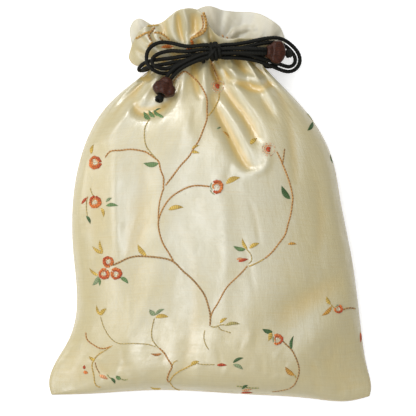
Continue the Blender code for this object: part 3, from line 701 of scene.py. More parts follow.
# %% Seams and edges of the two panels
LEFT_CORNER = (-0.1378, -0.1660, 0.0024)
RIGHT_CORNER = (0.1388, -0.1672, 0.0024)
LEFT_EYE = (-0.0490, 0.1185, 0.0125)
RIGHT_EYE = (0.0455, 0.1200, 0.0125)
LEFT_TIP = (-0.0708, 0.1275, 0.0070)
RIGHT_TIP = (0.0657, 0.1331, 0.0080)
BOTTOM_SEAM = [
    LEFT_CORNER, (-0.1050, -0.1650, 0.0055), (-0.0475, -0.1616, 0.0095), (0.0300, -0.1650, 0.0105),
    (0.0900, -0.1692, 0.0075), (0.1220, -0.1712, 0.0042), RIGHT_CORNER,
]
LEFT_SEAM = [
    LEFT_CORNER, (-0.1397, -0.1595, 0.0026), (-0.1331, -0.1356, 0.0042), (-0.1225, -0.1175, 0.0070),
    (-0.1162, -0.0960, 0.0105), (-0.1184, -0.0415, 0.0150), (-0.1192, -0.0069, 0.0160),
    (-0.1115, 0.0415, 0.0160), (-0.0907, 0.0829, 0.0145), (-0.0615, 0.1090, 0.0130), LEFT_EYE,
]
RIGHT_SEAM = [
    RIGHT_CORNER, (0.1400, -0.1620, 0.0026), (0.1374, -0.1452, 0.0042), (0.1305, -0.1037, 0.0090),
    (0.1218, -0.0415, 0.0140), (0.1123, 0.0069, 0.0150), (0.1071, 0.0346, 0.0150),
    (0.0864, 0.0760, 0.0140), (0.0600, 0.1050, 0.0130), RIGHT_EYE,
]
NECK_LINE = [
    LEFT_EYE, (-0.0250, 0.1265, 0.0125), (0.0050, 0.1285, 0.0125), (0.0300, 0.1260, 0.0125), RIGHT_EYE,
]
LEFT_WING = [LEFT_EYE, (-0.0600, 0.1190, 0.0105), (-0.0685, 0.1230, 0.0080), LEFT_TIP]
RIGHT_WING = [RIGHT_EYE, (0.0562, 0.1262, 0.0105), RIGHT_TIP]
FRONT_HEM = [
    LEFT_TIP, (-0.0665, 0.1400, 0.0150), (-0.0553, 0.1529, 0.0230), (-0.0432, 0.1560, 0.0190),
    (-0.0328, 0.1633, 0.0250), (-0.0230, 0.1675, 0.0310), (-0.0110, 0.1668, 0.0290),
    (-0.0035, 0.1600, 0.0250), (0.0015, 0.1500, 0.0225), (0.0110, 0.1430, 0.0222),
    (0.0260, 0.1428, 0.0222), (0.0420, 0.1424, 0.0205), (0.0560, 0.1400, 0.0165), RIGHT_TIP,
]
BACK_HEM = [
    LEFT_TIP, (-0.0683, 0.1400, 0.0055), (-0.0698, 0.1512, 0.0050), (-0.0615, 0.1612, 0.0090),
    (-0.0518, 0.1560, 0.0070), (-0.0346, 0.1600, 0.0035), (-0.0173, 0.1659, 0.0045),
    (-0.0026, 0.1716, 0.0095), (0.0104, 0.1685, 0.0070), (0.0302, 0.1672, 0.0035),
    (0.0415, 0.1659, 0.0055), (0.0536, 0.1595, 0.0085), (0.0613, 0.1529, 0.0065),
    (0.0650, 0.1430, 0.0060), RIGHT_TIP,
]

# %% [markdown]
# ## Folds, crinkles and puckers
#
# Silk as crisp as this holds three sizes of wrinkle. The large folds fan out from the neck and are
# drawn one by one. Small crinkles lie all over, mostly up and down the bag; they are scattered
# with a seeded random generator, so that each run gives the same bag. Along the seams the thread
# pulls the cloth into puckers.

# %% Lines of the large folds
# Each is a depth, a width (mm) and the points of its line (mm). A negative depth is a ridge.
FOLDS = [
    (4.0, 3.4, [(-0.9, 124.4), (2.6, 115.8), (7.8, 106.0)]),
    (6.0, 6.6, [(9.5, 107.1), (16.4, 94.2), (25.1, 81.2), (32.0, 70.8), (38.9, 57.0)]),
    (5.0, 6.0, [(3.0, 92.0), (6.5, 80.0), (12.0, 69.0), (18.5, 56.0), (24.0, 45.0), (31.0, 32.0)]),
    (-1.6, 3.4, [(50.5, 42.0), (48.4, 33.0), (42.4, 27.8), (32.0, 26.6), (22.5, 32.8)]),
    (3.2, 4.0, [(13.8, 109.5), (22.5, 105.0), (34.6, 100.8), (43.2, 99.5), (50.5, 103.4)]),
    (-3.0, 4.4, [(11.0, 118.5), (20.0, 114.0), (31.0, 109.5), (42.0, 107.5), (49.0, 109.0)]),
    (4.6, 2.4, [(1.2, 123.0), (3.4, 114.0), (6.8, 105.0)]),
    (2.4, 2.4, [(8.0, 121.0), (13.8, 113.5), (18.0, 110.0)]),
    (-2.0, 3.4, [(-8.0, 120.0), (-5.5, 108.0), (-2.0, 96.0)]),
    (3.6, 5.4, [
        (-53.6, 102.8), (-63.1, 92.4), (-62.5, 81.2), (-51.8, 79.5), (-38.9, 85.0), (-32.0, 93.9),
        (-27.0, 104.8),
    ]),
    (-2.2, 6.0, [(-58.5, 96.2), (-73.4, 78.6), (-88.4, 56.6)]),
    (2.6, 7.0, [(-42.0, 112.0), (-66.0, 98.0), (-84.0, 74.0)]),
    (-1.8, 10.0, [(-16.0, 108.0), (-19.0, 85.5), (-24.0, 52.0)]),
    (2.4, 14.0, [(-56.0, 76.0), (-58.8, 3.5), (-64.8, -80.0)]),
    (-1.8, 7.0, [(-84.0, 52.0), (-82.0, 5.0), (-80.0, -46.0)]),
    (1.4, 8.0, [(-103.0, 48.0), (-101.0, -10.0), (-104.0, -86.0)]),
    (3.4, 16.0, [(124.0, -60.0), (90.7, -78.6), (56.0, -104.0)]),
    (-1.8, 12.0, [(118.0, -96.0), (96.0, -112.0), (72.0, -140.0)]),
    (2.0, 6.0, [(60.0, 92.0), (70.0, 60.0), (74.0, 22.0)]),
    (1.6, 7.0, [(86.0, 40.0), (96.0, -6.0), (92.0, -50.0)]),
    (-0.9, 9.0, [(4.0, 30.0), (12.0, -40.0), (2.0, -120.0)]),
    (1.0, 9.0, [(-18.0, -30.0), (-12.0, -90.0), (-22.0, -150.0)]),
    (2.6, 5.0, [(43.0, 101.0), (47.0, 90.0), (56.0, 74.0)]),
    (-2.0, 16.0, [(-58.0, -96.0), (-64.0, -126.0), (-56.0, -150.0)]),
    (1.8, 3.2, [(-26.0, 116.0), (-27.5, 104.0), (-29.0, 96.0)]),
    (1.5, 3.0, [(-14.0, 118.0), (-13.0, 106.0), (-9.0, 92.0)]),
    (1.6, 3.4, [(30.0, 117.0), (38.0, 111.0), (52.0, 104.0)]),
]
# The front ruffle stands up on the left and rolls over into a lip where it drops to the cords.
RUFFLE_FOLDS = [
    (-2.2, 2.4, [(-7.0, 166.0), (-3.9, 157.2), (-3.9, 151.2), (-8.2, 146.0), (-17.3, 141.7)]),
    (2.6, 5.0, [(-16.0, 165.0), (-12.4, 157.2), (-14.6, 149.3)]),
    (4.2, 3.2, [(-28.0, 164.0), (-26.2, 152.0), (-22.5, 140.0)]),
    (-1.6, 2.6, [(-22.5, 165.0), (-19.6, 154.8), (-18.6, 146.0)]),
    (-1.4, 3.6, [(-36.3, 157.5), (-33.0, 146.0), (-29.0, 137.0)]),
    (2.2, 2.8, [(-50.5, 153.0), (-48.0, 143.0), (-41.0, 135.0)]),
    (1.6, 2.6, [(-61.0, 146.0), (-54.0, 139.5), (-47.0, 134.5)]),
    (-1.2, 3.0, [(-63.0, 138.0), (-57.0, 133.0), (-51.0, 128.0)]),
]
# The back ruffle lies open on the right and shows its inside. All of its folds stand up.
BACK_RUFFLE_FOLDS = [
    (-2.6, 2.6, [(12.0, 138.0), (19.0, 147.0), (29.5, 152.0), (38.0, 152.6)]),
    (-1.8, 2.8, [(25.0, 139.0), (31.0, 144.0), (42.0, 145.0)]),
    (-4.6, 5.4, [(0.5, 172.0), (4.0, 158.0), (6.5, 146.0)]),
    (-2.8, 5.0, [(18.0, 168.0), (14.5, 156.0), (11.0, 145.0)]),
    (-2.0, 3.6, [(56.0, 159.0), (53.0, 150.0), (44.0, 138.0)]),
    (-1.6, 2.6, [(59.0, 152.0), (54.0, 145.0), (46.0, 137.0)]),
    (-2.0, 3.0, [(-63.0, 156.0), (-60.0, 148.0), (-54.0, 138.0)]),
]
CRINKLES, BACK_CRINKLES, RUFFLE_CRINKLES = 130, 90, 26
CRUMPLES, CRUMPLE_ROWS = 240, 90  # small crinkles, and the rows near the bottom seam that hold them
NECK_MIDDLE = (0.0, 0.150)

# %% Height of the folds and crinkles at any points of the front
def within(points, line, reach):
    """Which points lie in the box round a line, widened by reach, seen from above."""
    low, high = line[:, :2].min(axis=0) - reach, line[:, :2].max(axis=0) + reach
    return np.all((points[..., :2] > low) & (points[..., :2] < high), axis=-1)


def fold_depth(points, folds):
    """Sum over the lines: depth times exp(-(distance / width) squared), fading at both ends."""
    depth = np.zeros(points.shape[:-1])
    t = np.linspace(0.0, 1.0, 40)
    for deep, width, line in folds:
        flat = np.array([(x, y, 0.0) for x, y in line]) / 1000
        curve = spline(flat)(t)[:, :2]
        near = within(points, curve, 0.003 * width)
        away = np.linalg.norm(points[near][:, None, :2] - curve, axis=-1)
        place = away.argmin(axis=-1) / (len(t) - 1)
        fade = np.clip(np.sin(math.pi * (0.10 + 0.80 * place)), 0.0, 1.0) ** 0.7
        depth[near] += deep / 1000 * fade * np.exp(-((away.min(axis=-1) / (width / 1000)) ** 2))
    return depth


def crinkle_height(points, count, seed, tall, wide, long, scatter=0.40):
    """Sum of short curved ridges. With a along a ridge and b across it, each adds
    height * exp(-(b / width)^2) * exp(-(a / length)^4), where b bends by a squared."""
    random = np.random.default_rng(seed)
    height = np.zeros(points.shape[:-1])
    flat = points[..., :2].reshape(-1, 2)
    low, high = flat.min(axis=0), flat.max(axis=0)
    for _ in range(count):
        centre = random.uniform(low, high)
        lean = math.atan2(NECK_MIDDLE[1] - centre[1] + 0.05, NECK_MIDDLE[0] - centre[0])
        angle = lean + random.normal(0.0, scatter)
        rise = random.uniform(*tall) / 1000 * random.choice([-1.0, 1.0])
        width, length = random.uniform(*wide) / 1000, random.uniform(*long) / 1000
        bend = random.normal(0.0, 4.0)
        away = points[..., :2] - centre
        a = away[..., 0] * math.cos(angle) + away[..., 1] * math.sin(angle)
        b = away[..., 1] * math.cos(angle) - away[..., 0] * math.sin(angle) + bend * a**2
        height += rise * np.exp(-((b / width) ** 2)) * np.exp(-((a / length) ** 4))
    return height


# %% [markdown]
# ## The two panels
#
# Rows run from the bottom seam to the neck, and then out along the ruffle to its hem. Columns run
# from the left seam to the right one. The wall is closed: an outer face of satin, an inner face of
# lining 0.8 mm behind it, and a rim that joins them at every edge.

# %% Sizes of the panels
CLOTH = 0.0008  # wall of the bag
SEAM_GAP = 0.0003
EYE_HEIGHT, EYE_REACH = 0.0090, 0.0120  # the opening in each side seam that lets the cords out
BODY_RISE, NECK_RISE = 0.0290, 0.0120
CORNER_DROP, CORNER_REACH = 0.60, 0.0450
EDGE_ROUND = 0.0024
BACK_CURL, BACK_EDGE = 0.0300, 0.20
PLEATS = 6
PLEAT_DEPTH, BACK_PLEAT_DEPTH, PLEAT_RUN = 0.0075, 0.0060, 0.0360
NECK_PINCH, PINCH_REACH = 0.0045, 0.0090
SEAM_GROOVE, SEAM_LINE, GROOVE_HALF = 0.0005, 0.0045, 0.0011  # stitches along the seam
PUCKER, PUCKER_PITCH, PUCKER_REACH = 0.00022, 0.0085, 0.0070  # the pull of that seam
GATHER, GATHER_REACH = 0.0008, 0.0260  # fine gathers of the front at the neck
EDGE_RISE = 0.0016  # height of the soft edge with which the front leaves the seam
FADE = 0.0120  # metres from the seam or the neck over which folds and crinkles fade
FRILL = 0.0016  # fine waves of the ruffle
LOWEST = 0.0009  # no point of a ruffle lies under this
UNDER_CORD = 0.0004  # clear space between the cloth and what lies on it
UV_HALF = 0.15  # half the width of a panel on its uv map
HOLLOW = 0.0011  # depth below its neighbours at which a point takes the full painted shade
COLUMNS = 204
BODY_ROWS = 188
RUFFLE_ROWS = 46


def middle_sheet():
    """The sheet half way between the panels, as a Coons patch, with its two parameters."""
    even = np.linspace(0.0, 1.0, COLUMNS + 1)
    crowded = 0.35 * even + 0.65 * (1 - np.cos(math.pi * even)) / 2
    steps = np.linspace(0.0, 1.0, BODY_ROWS + 1)
    rows = 0.55 * steps + 0.45 * (1 - np.cos(math.pi * steps)) / 2
    share = crowded + (even - crowded) * smooth_step(rows, 0.45, 0.95)[:, None]
    b, u = rows[:, None, None], share[:, :, None]
    left, right = spline(LEFT_SEAM)(rows), spline(RIGHT_SEAM)(rows)
    bottom, neck = spline(BOTTOM_SEAM)(share), spline(NECK_LINE)(share)
    sides = (1 - u) * left[:, None] + u * right[:, None]
    ends = (1 - b) * bottom + b * neck
    corners = (1 - b) * ((1 - u) * left[0] + u * right[0]) + b * ((1 - u) * left[-1] + u * right[-1])
    return sides + ends - corners, rows, share


def neck_waves(share, seed, waves):
    """Uneven gathers: sine waves of several lengths across the neck, added up, from -1 to 1."""
    random = np.random.default_rng(seed)
    total = np.zeros_like(share)
    for number in waves:
        total += random.uniform(0.5, 1.0) * np.sin(2 * math.pi * (number * share + random.uniform()))
    return total / len(waves)


def to_the_neck(body):
    """Each point's distance from the neck line, and how strongly the pleats show there: 1 at the
    neck and nothing far from it."""
    length = np.abs(body[..., 1] - body[-1, :, 1])
    return length, np.clip(1.01 * np.exp(-((length / PLEAT_RUN) ** 2)) - 0.01, 0.0, 1.0)


def front_surface(body, rows, share):
    """Front of the body: the sheet plus a rise of (1 - |t|^p)^(1/2) across, t from -1 to 1, less the
    pleats, the cord's pinch and the folds, plus the crinkles. It ends at the neck."""
    t, b = 2 * share - 1, rows[:, None]
    to_neck = smooth_step(b, 0.55, 1.0)
    length, run = to_the_neck(body)
    round_side = (1 - np.abs(t) ** (2.3 + 1.7 * to_neck)).clip(0) ** 0.5
    round_end = (1 - (1 - np.clip(b / 0.42, 0, 1)) ** 2.2).clip(0) ** 0.5
    rise = (BODY_RISE + (NECK_RISE - BODY_RISE) * to_neck) * round_side * round_end
    for corner in (body[0, 0], body[0, -1]):
        away = np.linalg.norm(body[..., :2] - corner[:2], axis=-1)
        rise *= 1 - CORNER_DROP * np.exp(-((away / CORNER_REACH) ** 2))
    rise += EDGE_RISE * ((1 - np.abs(t) ** 12).clip(0) * (1 - (1 - b) ** 60)) ** 0.5
    inside = (1 - np.abs(t) ** 6).clip(0)
    uneven = share + 0.012 * neck_waves(share, 3, (2, 3, 5))
    pleats = 0.5 - 0.5 * np.cos(2 * math.pi * PLEATS * uneven)
    gathers = GATHER * neck_waves(share, 11, (13, 17, 22)) * np.exp(-((length / GATHER_REACH) ** 2))
    pinch = NECK_PINCH * np.exp(-((length / PINCH_REACH) ** 2))
    quiet = 1 - 0.6 * np.exp(-((length / FADE) ** 2))
    edge = np.minimum(share, 1 - share) * np.linalg.norm(body[:, -1] - body[:, 0], axis=-1)[:, None]
    soft = smooth_step(edge, 0.0, FADE) * smooth_step(b, 0.0, 0.03)
    front = body.copy()
    front[..., 2] += rise - inside * (PLEAT_DEPTH * pleats * run + pinch) + gathers * inside
    front[..., 2] -= fold_depth(body, FOLDS) * inside * soft
    ripples = crinkle_height(body, CRINKLES, 7, (0.05, 0.26), (1.8, 6.0), (6.0, 26.0))
    low = body[:CRUMPLE_ROWS]
    crumple = crinkle_height(low, CRUMPLES, 23, (0.06, 0.30), (1.4, 3.6), (3.0, 11.0), 0.8)
    ripples[:CRUMPLE_ROWS] += crumple * (1 - smooth_step(low[..., 1], -0.145, -0.085))
    front[..., 2] += quiet * soft * inside * ripples
    front[..., 2] -= SEAM_GROOVE * inside * np.exp(-(((edge - SEAM_LINE) / GROOVE_HALF) ** 2))
    seam_wave = np.sin(2 * math.pi * (body[..., 1] / PUCKER_PITCH + 0.8 * np.sin(body[..., 1] * 90)))
    front[..., 2] += PUCKER * seam_wave * np.exp(-((edge / PUCKER_REACH - 1) ** 2)) * inside
    return front


def back_surface(body, rows, share):
    """Back of the body: flat on the table, curling up to the seam as a quarter of a circle over
    BACK_CURL metres. The distances to side and end join as (x^-4 + y^-4)^(-1/4)."""
    t, b = 2 * share - 1, rows[:, None]
    run = to_the_neck(body)[1]
    inside = (1 - np.abs(t) ** 6).clip(0)
    width = np.linalg.norm(body[:, -1] - body[:, 0], axis=-1)[:, None]
    from_side = np.minimum(share, 1 - share) * width / BACK_CURL
    near = (np.maximum(from_side, 1e-3) ** -4 + np.maximum(b / BACK_EDGE, 1e-3) ** -4) ** -0.25
    flat = (1 - (1 - np.minimum(near, 1.0)) ** 2) ** 0.5
    pleats = 0.5 + 0.5 * np.cos(2 * math.pi * PLEATS * share)
    off_edge = (share > 0) & (share < 1) & (b > 0)
    back = body.copy()
    back[..., 2] *= 1 - flat * off_edge
    back[..., 2] += BACK_PLEAT_DEPTH * pleats * run * inside
    curl = back[..., 2] * smooth_step(np.minimum(from_side, b / BACK_EDGE), 0.0, 0.4)
    ripples = crinkle_height(body, BACK_CRINKLES, 19, (0.05, 0.4), (1.8, 6.0), (6.0, 26.0))
    back[..., 2] += np.clip(ripples, -0.3 * curl, 0.0008) * (curl > 0.0006)
    return back


def with_ruffle(wall, hem, folds, sign, seed):
    """Adds the ruffle: straight lines from the neck out to the wavy hem, pulled on to the wings at
    both ends, with fine gathers that fade out towards the hem."""
    w = np.linspace(0.0, 1.0, RUFFLE_ROWS + 1)[1:, None, None]
    even = np.linspace(0.0, 1.0, COLUMNS + 1)
    side = np.sqrt((1 - np.abs(2 * even - 1) ** 12).clip(0))
    edge = spline(hem)(even)
    edge[:, 2] += sign * EDGE_ROUND * side
    leaf = (1 - w) * wall[-1] + w * edge
    left, right = spline(LEFT_WING)(w[:, 0, 0]), spline(RIGHT_WING)(w[:, 0, 0])
    u = even[None, :, None]
    leaf += (1 - u) ** 6 * (left - leaf[:, 0])[:, None] + u**6 * (right - leaf[:, -1])[:, None]
    frill = neck_waves(even, seed, (9, 14, 19)) * side
    leaf[..., 2] += FRILL * frill * (np.sin(math.pi * w[..., 0]) ** 0.8) * (1 - 0.6 * w[..., 0])
    held = (np.sin(math.pi * even) ** 0.25)[None, :] * smooth_step(w[..., 0], 0.0, 0.15)
    leaf[..., 2] -= 1.25 * held * fold_depth(leaf, folds)
    ripples = crinkle_height(leaf, RUFFLE_CRINKLES, seed, (0.2, 0.7), (1.2, 3.0), (5.0, 14.0))
    leaf[..., 2] += 0.7 * held * ripples
    leaf[..., 2] = np.maximum(leaf[..., 2], LOWEST)
    return np.concatenate([wall, leaf])


def open_eyes(wall, sign):
    """Lifts the cloth off the cords where they come out at each end of the neck."""
    for side in (0, -1):
        x, y, z = wall[BODY_ROWS, side]
        away = np.hypot(wall[..., 0] - x, wall[..., 1] - y)
        lift = EYE_HEIGHT / 2 * np.clip(1 - (away / EYE_REACH) ** 2, 0.0, 1.0)
        need = np.where(away < EYE_REACH, sign * z + lift + CLOTH, -1.0)
        wall[:, 1:-1, 2] = sign * np.maximum(sign * wall[:, 1:-1, 2], need[:, 1:-1])


def press_down(wall, path, radius, spread=0.0045):
    """Sinks the cloth under something that lies on it: nowhere above
    path height - radius - gap + (distance / spread)^2 * radius, seen from above."""
    near = within(wall, path, 3 * spread)
    spots = wall[near]
    apart = np.linalg.norm(spots[:, None, :2] - path[None, :, :2], axis=-1)
    under = spots[apart.argmin(axis=0), 2]
    lying = path[under < path[:, 2]]
    if len(lying):
        apart = np.linalg.norm(spots[:, None, :2] - lying[None, :, :2], axis=-1)
        limit = (lying[None, :, 2] - radius - UNDER_CORD + (apart / spread) ** 2 * radius).min(axis=1)
        spots[:, 2] = np.minimum(spots[:, 2], limit)
        wall[near] = spots


# %% Work out the two faces of each panel
body, rows, share = middle_sheet()
front = with_ruffle(front_surface(body, rows, share), FRONT_HEM, RUFFLE_FOLDS, 1, 5)
back = with_ruffle(back_surface(body, rows, share), BACK_HEM, BACK_RUFFLE_FOLDS, -1, 8)
middle = (front[..., 2] + back[..., 2]) / 2
# How far each row is open at the left and the right seam: 1 at the eye, 0 beyond its reach
lips = np.stack([np.linalg.norm(front[:, s] - front[BODY_ROWS, s], axis=-1) for s in (0, -1)], axis=1)
lips = np.clip(1 - (lips / EYE_REACH) ** 2, 0.0, 1.0)
for wall, sign in ((front, 1), (back, -1)):
    open_eyes(wall, sign)
    wall[0, :, 2] += sign * SEAM_GAP / 2
    for side in (0, -1):
        opening = lips[:, side] * (EYE_HEIGHT / 2 + CLOTH)
        wall[:, side, 2] = middle[:, side] + sign * (SEAM_GAP / 2 + opening)
for path in paths.values():
    press_down(front, path[::3], CORD / 2)
press_down(front, np.array(BEADS["left_bead"]), BEAD_BELLY, BEAD_SPREAD)
print(f"front panel: {len(front)} rows of points, {1000 * front[..., 2].max():.1f} mm high")


# %% Turn a panel into a closed wall
def inner_face(outer, sign):
    """The inside of a panel: its outer face moved in along the normal by the cloth's thickness,
    and kept on its own side of the sheet between the panels."""
    normal = unit(np.cross(np.gradient(outer, axis=1), np.gradient(outer, axis=0)))
    inner = outer - sign * CLOTH * normal
    clear = middle + sign * SEAM_GAP / 2
    inner[..., 2] = sign * np.maximum(sign * inner[..., 2], sign * clear)
    edges = (
        ((slice(None), 0), (slice(None), 1), lips[:, 0]),
        ((slice(None), -1), (slice(None), -2), lips[:, 1]),
        ((0, slice(1, -1)), (1, slice(1, -1)), 0.0),
    )
    for edge, near, lip in edges:
        inward = unit((outer[near] - outer[edge])[..., :2])
        inner[edge] = outer[edge]
        inner[edge][..., :2] += CLOTH * inward
        inner[edge][..., 2] -= sign * CLOTH * lip
    for corner, near in (((0, 0), (1, 1)), ((0, -1), (1, -2))):
        inner[corner] = outer[corner]
        inner[corner][:2] += CLOTH * unit((outer[near] - outer[corner])[:2])
    return inner


def painted_shade_and_highlight(outer, sign):
    """How far each point lies below its neighbours, -1 to 1: the height blurred over nine points
    each way, less the height itself, in units of HOLLOW. It is used to paint shade, a deeper gold,
    into the hollows, in place of the light that silk bounces into itself, and a painted highlight
    on the ridges."""
    height = sign * outer[..., 2]
    soft = np.pad(height, 9, mode="edge")
    for _ in range(3):
        for axis in (0, 1):
            soft = (np.roll(soft, 3, axis) + np.roll(soft, -3, axis) + soft) / 3
    return np.clip((soft[9:-9, 9:-9] - height) / HOLLOW, -1.0, 1.0)


def panel(name, outer, sign, *materials):
    """The closed wall of one panel, with its outer face first."""
    inner = inner_face(outer, sign)
    count_rows, count_columns = outer.shape[:2]
    count = count_rows * count_columns
    number = np.arange(count).reshape(count_rows, count_columns)
    ring = np.concatenate([number[0, :-1], number[:-1, -1], number[-1, :0:-1], number[:0:-1, 0]])
    after = np.roll(ring, -1)
    outside = grid_faces(count_rows, count_columns)
    rim = np.stack([after, ring, count + ring, count + after], axis=1)
    faces = np.concatenate([outside, outside[:, ::-1] + count, rim])
    s = along(outer[:, COLUMNS // 2])
    uv = grid_uv(np.linspace(-UV_HALF, UV_HALF, count_columns), s)
    # The hollows get painted shade (red) and the ridges a painted highlight (green).
    deep = painted_shade_and_highlight(outer, sign).reshape(-1)
    dye = np.stack([deep.clip(0), (-deep).clip(0), np.zeros_like(deep)], axis=1)
    points = np.concatenate([outer.reshape(-1, 3), inner.reshape(-1, 3)])
    patch = Patch(points, faces, np.tile(uv, (2, 1)), np.tile(dye, (2, 1)))
    made = piece(name, patch, *materials)
    kind = np.zeros(len(made.data.polygons), np.int32)
    kind[len(outside) : 2 * len(outside)] = 1
    made.data.polygons.foreach_set("material_index", kind)
    return made


# %% [markdown]
# ## Silk satin and its lining
#
# Dupion silk is woven from threads of uneven thickness. Close up, fine ribs run across it, broken
# by thicker slubs. From a distance one sees a soft sheen that turns white along the folds, and a
# deeper gold where the cloth faces itself. Warp and weft are of two colours, so the silk is pale
# where it faces the eye and golden where it is turned away; that pale is partly a painted sheen.
# The deeper gold of the hollows is painted shade, and the ridges get a painted highlight: both
# come from the dye attribute.
# A glossy coat mirrors the lamps; it is patchy, so that the sheen breaks up as it does on real
# dupion. Under it lie three layers of bump: creases, slubs and weave.

# %% The silk's finish
def silk(name, base, deep, pale, gloss, sheen):
    """Woven silk. The colour is pale where the cloth faces the eye, from the two-tone weave and a
    painted sheen, and on ridges, a painted highlight. It is deep in hollows, a painted shade, and
    along slubs. Where creases, slubs and crackle add up to more than 0.41 the coat grows from 0.38
    to its full weight."""
    cloth = Finish(name)
    flat = cloth.place(uv="cloth")
    solid = cloth.place()
    clouds = cloth.noise(solid, 22.0, 3.0)
    slub = cloth.noise(cloth.place((30.0, 700.0, 1.0), uv="cloth"), 1.0, 3.0, 0.65)
    warp = cloth.noise(cloth.place((1900.0, 60.0, 1.0), uv="cloth"), 1.0, 2.0)
    crease = cloth.noise(cloth.place((75.0, 42.0, 1.0), uv="cloth"), 1.0, 3.0, 0.5)
    crackle = cloth.noise(cloth.place((420.0, 60.0, 1.0), uv="cloth"), 1.0, 2.0, 0.6)
    weave = (cloth.axis(flat, 0) * 9000.0).sine() * (cloth.axis(flat, 1) * 9000.0).sine()
    dye = cloth.node("ShaderNodeAttribute", {"attribute_name": "dye"})
    # The panel's painted shade in its hollows (low) and painted highlight on its ridges (high)
    low = cloth.node("ShaderNodeSeparateColor", {}, {0: dye}, output=0)
    high = cloth.node("ShaderNodeSeparateColor", {}, {0: dye}, output=1)
    creased = cloth.bump(crease + crackle * 0.22, 0.0006)
    ribbed = cloth.bump(slub + warp * 0.5, 0.00008, creased)
    relief = cloth.bump(weave, 0.00002, ribbed)
    turned = cloth.node("ShaderNodeLayerWeight", {}, {"Blend": 0.5, "Normal": relief}, output=1)
    # Pale where the cloth faces the eye: the two-tone weave and a painted sheen, mottled by clouds
    face_on = 1.0 - cloth.between(turned + (clouds - 0.5) * 0.10, 0.002, 0.066)
    colour = cloth.mix(face_on * 0.85, base, pale)
    # Painted shade: a deeper gold in the hollows
    colour = cloth.mix(low * 0.90, colour, deep)
    # Painted highlight: paler on the ridges
    colour = cloth.mix(high * 0.35, colour, pale)
    colour = cloth.mix(cloth.between(slub, 0.48, 0.80) * 0.26, colour, deep)
    shine = cloth.between(crease * 0.45 + slub * 0.35 + crackle * 0.20, 0.41, 0.59)
    cloth.finish(
        Base_Color=colour,
        Roughness=crease * 0.10 + slub * 0.08 + 0.36,
        Specular_IOR_Level=0.9 * gloss,
        Coat_Weight=(shine * 0.62 + 0.38) * gloss,
        Coat_IOR=2.0,
        Coat_Roughness=0.25,
        Sheen_Weight=sheen,
        Sheen_Roughness=0.35,
        Normal=relief,
    )
    return cloth.material


# Base, deep and pale colours. Deep is the gold of the slubs and of the painted shade in hollows; pale
# is the painted highlight on ridges and, where the cloth faces the eye, the two-tone weave with a
# painted sheen.
SATIN = (0.548, 0.462, 0.238), (0.62, 0.425, 0.115), (0.582, 0.543, 0.396)
LINING = (0.70, 0.650, 0.500), (0.64, 0.58, 0.44), (0.73, 0.700, 0.610)
satin = silk("silk_satin", *SATIN, gloss=1.0, sheen=0.05)
lining = silk("silk_lining", *LINING, gloss=0.3, sheen=0.08)

# %% Make the two panels
front_cloth = panel("front_silk", front, 1, satin, lining)
back_cloth = panel("back_silk", back, -1, satin, lining)
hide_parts("front_panel")
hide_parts("back_panel")

# %% [markdown]
# ## The embroidered vine
#
# A traditional scroll of stems, leaves and small roses, worked in silk floss. Stems are in stem
# stitch, short slanting stitches that overlap like the strands of a rope. Leaves are in satin
# stitch, slanting out from a midrib. A rose is a ring of bullion knots round a pale middle. The
# floss changes colour as it turns: each thread has light and dark stretches in its dye attribute.
#
# Every thread is a tube again. Its line is drawn flat, in millimetres on the front of the bag, and
# then laid on the cloth: the nearest grid point gives the height and the slope there.

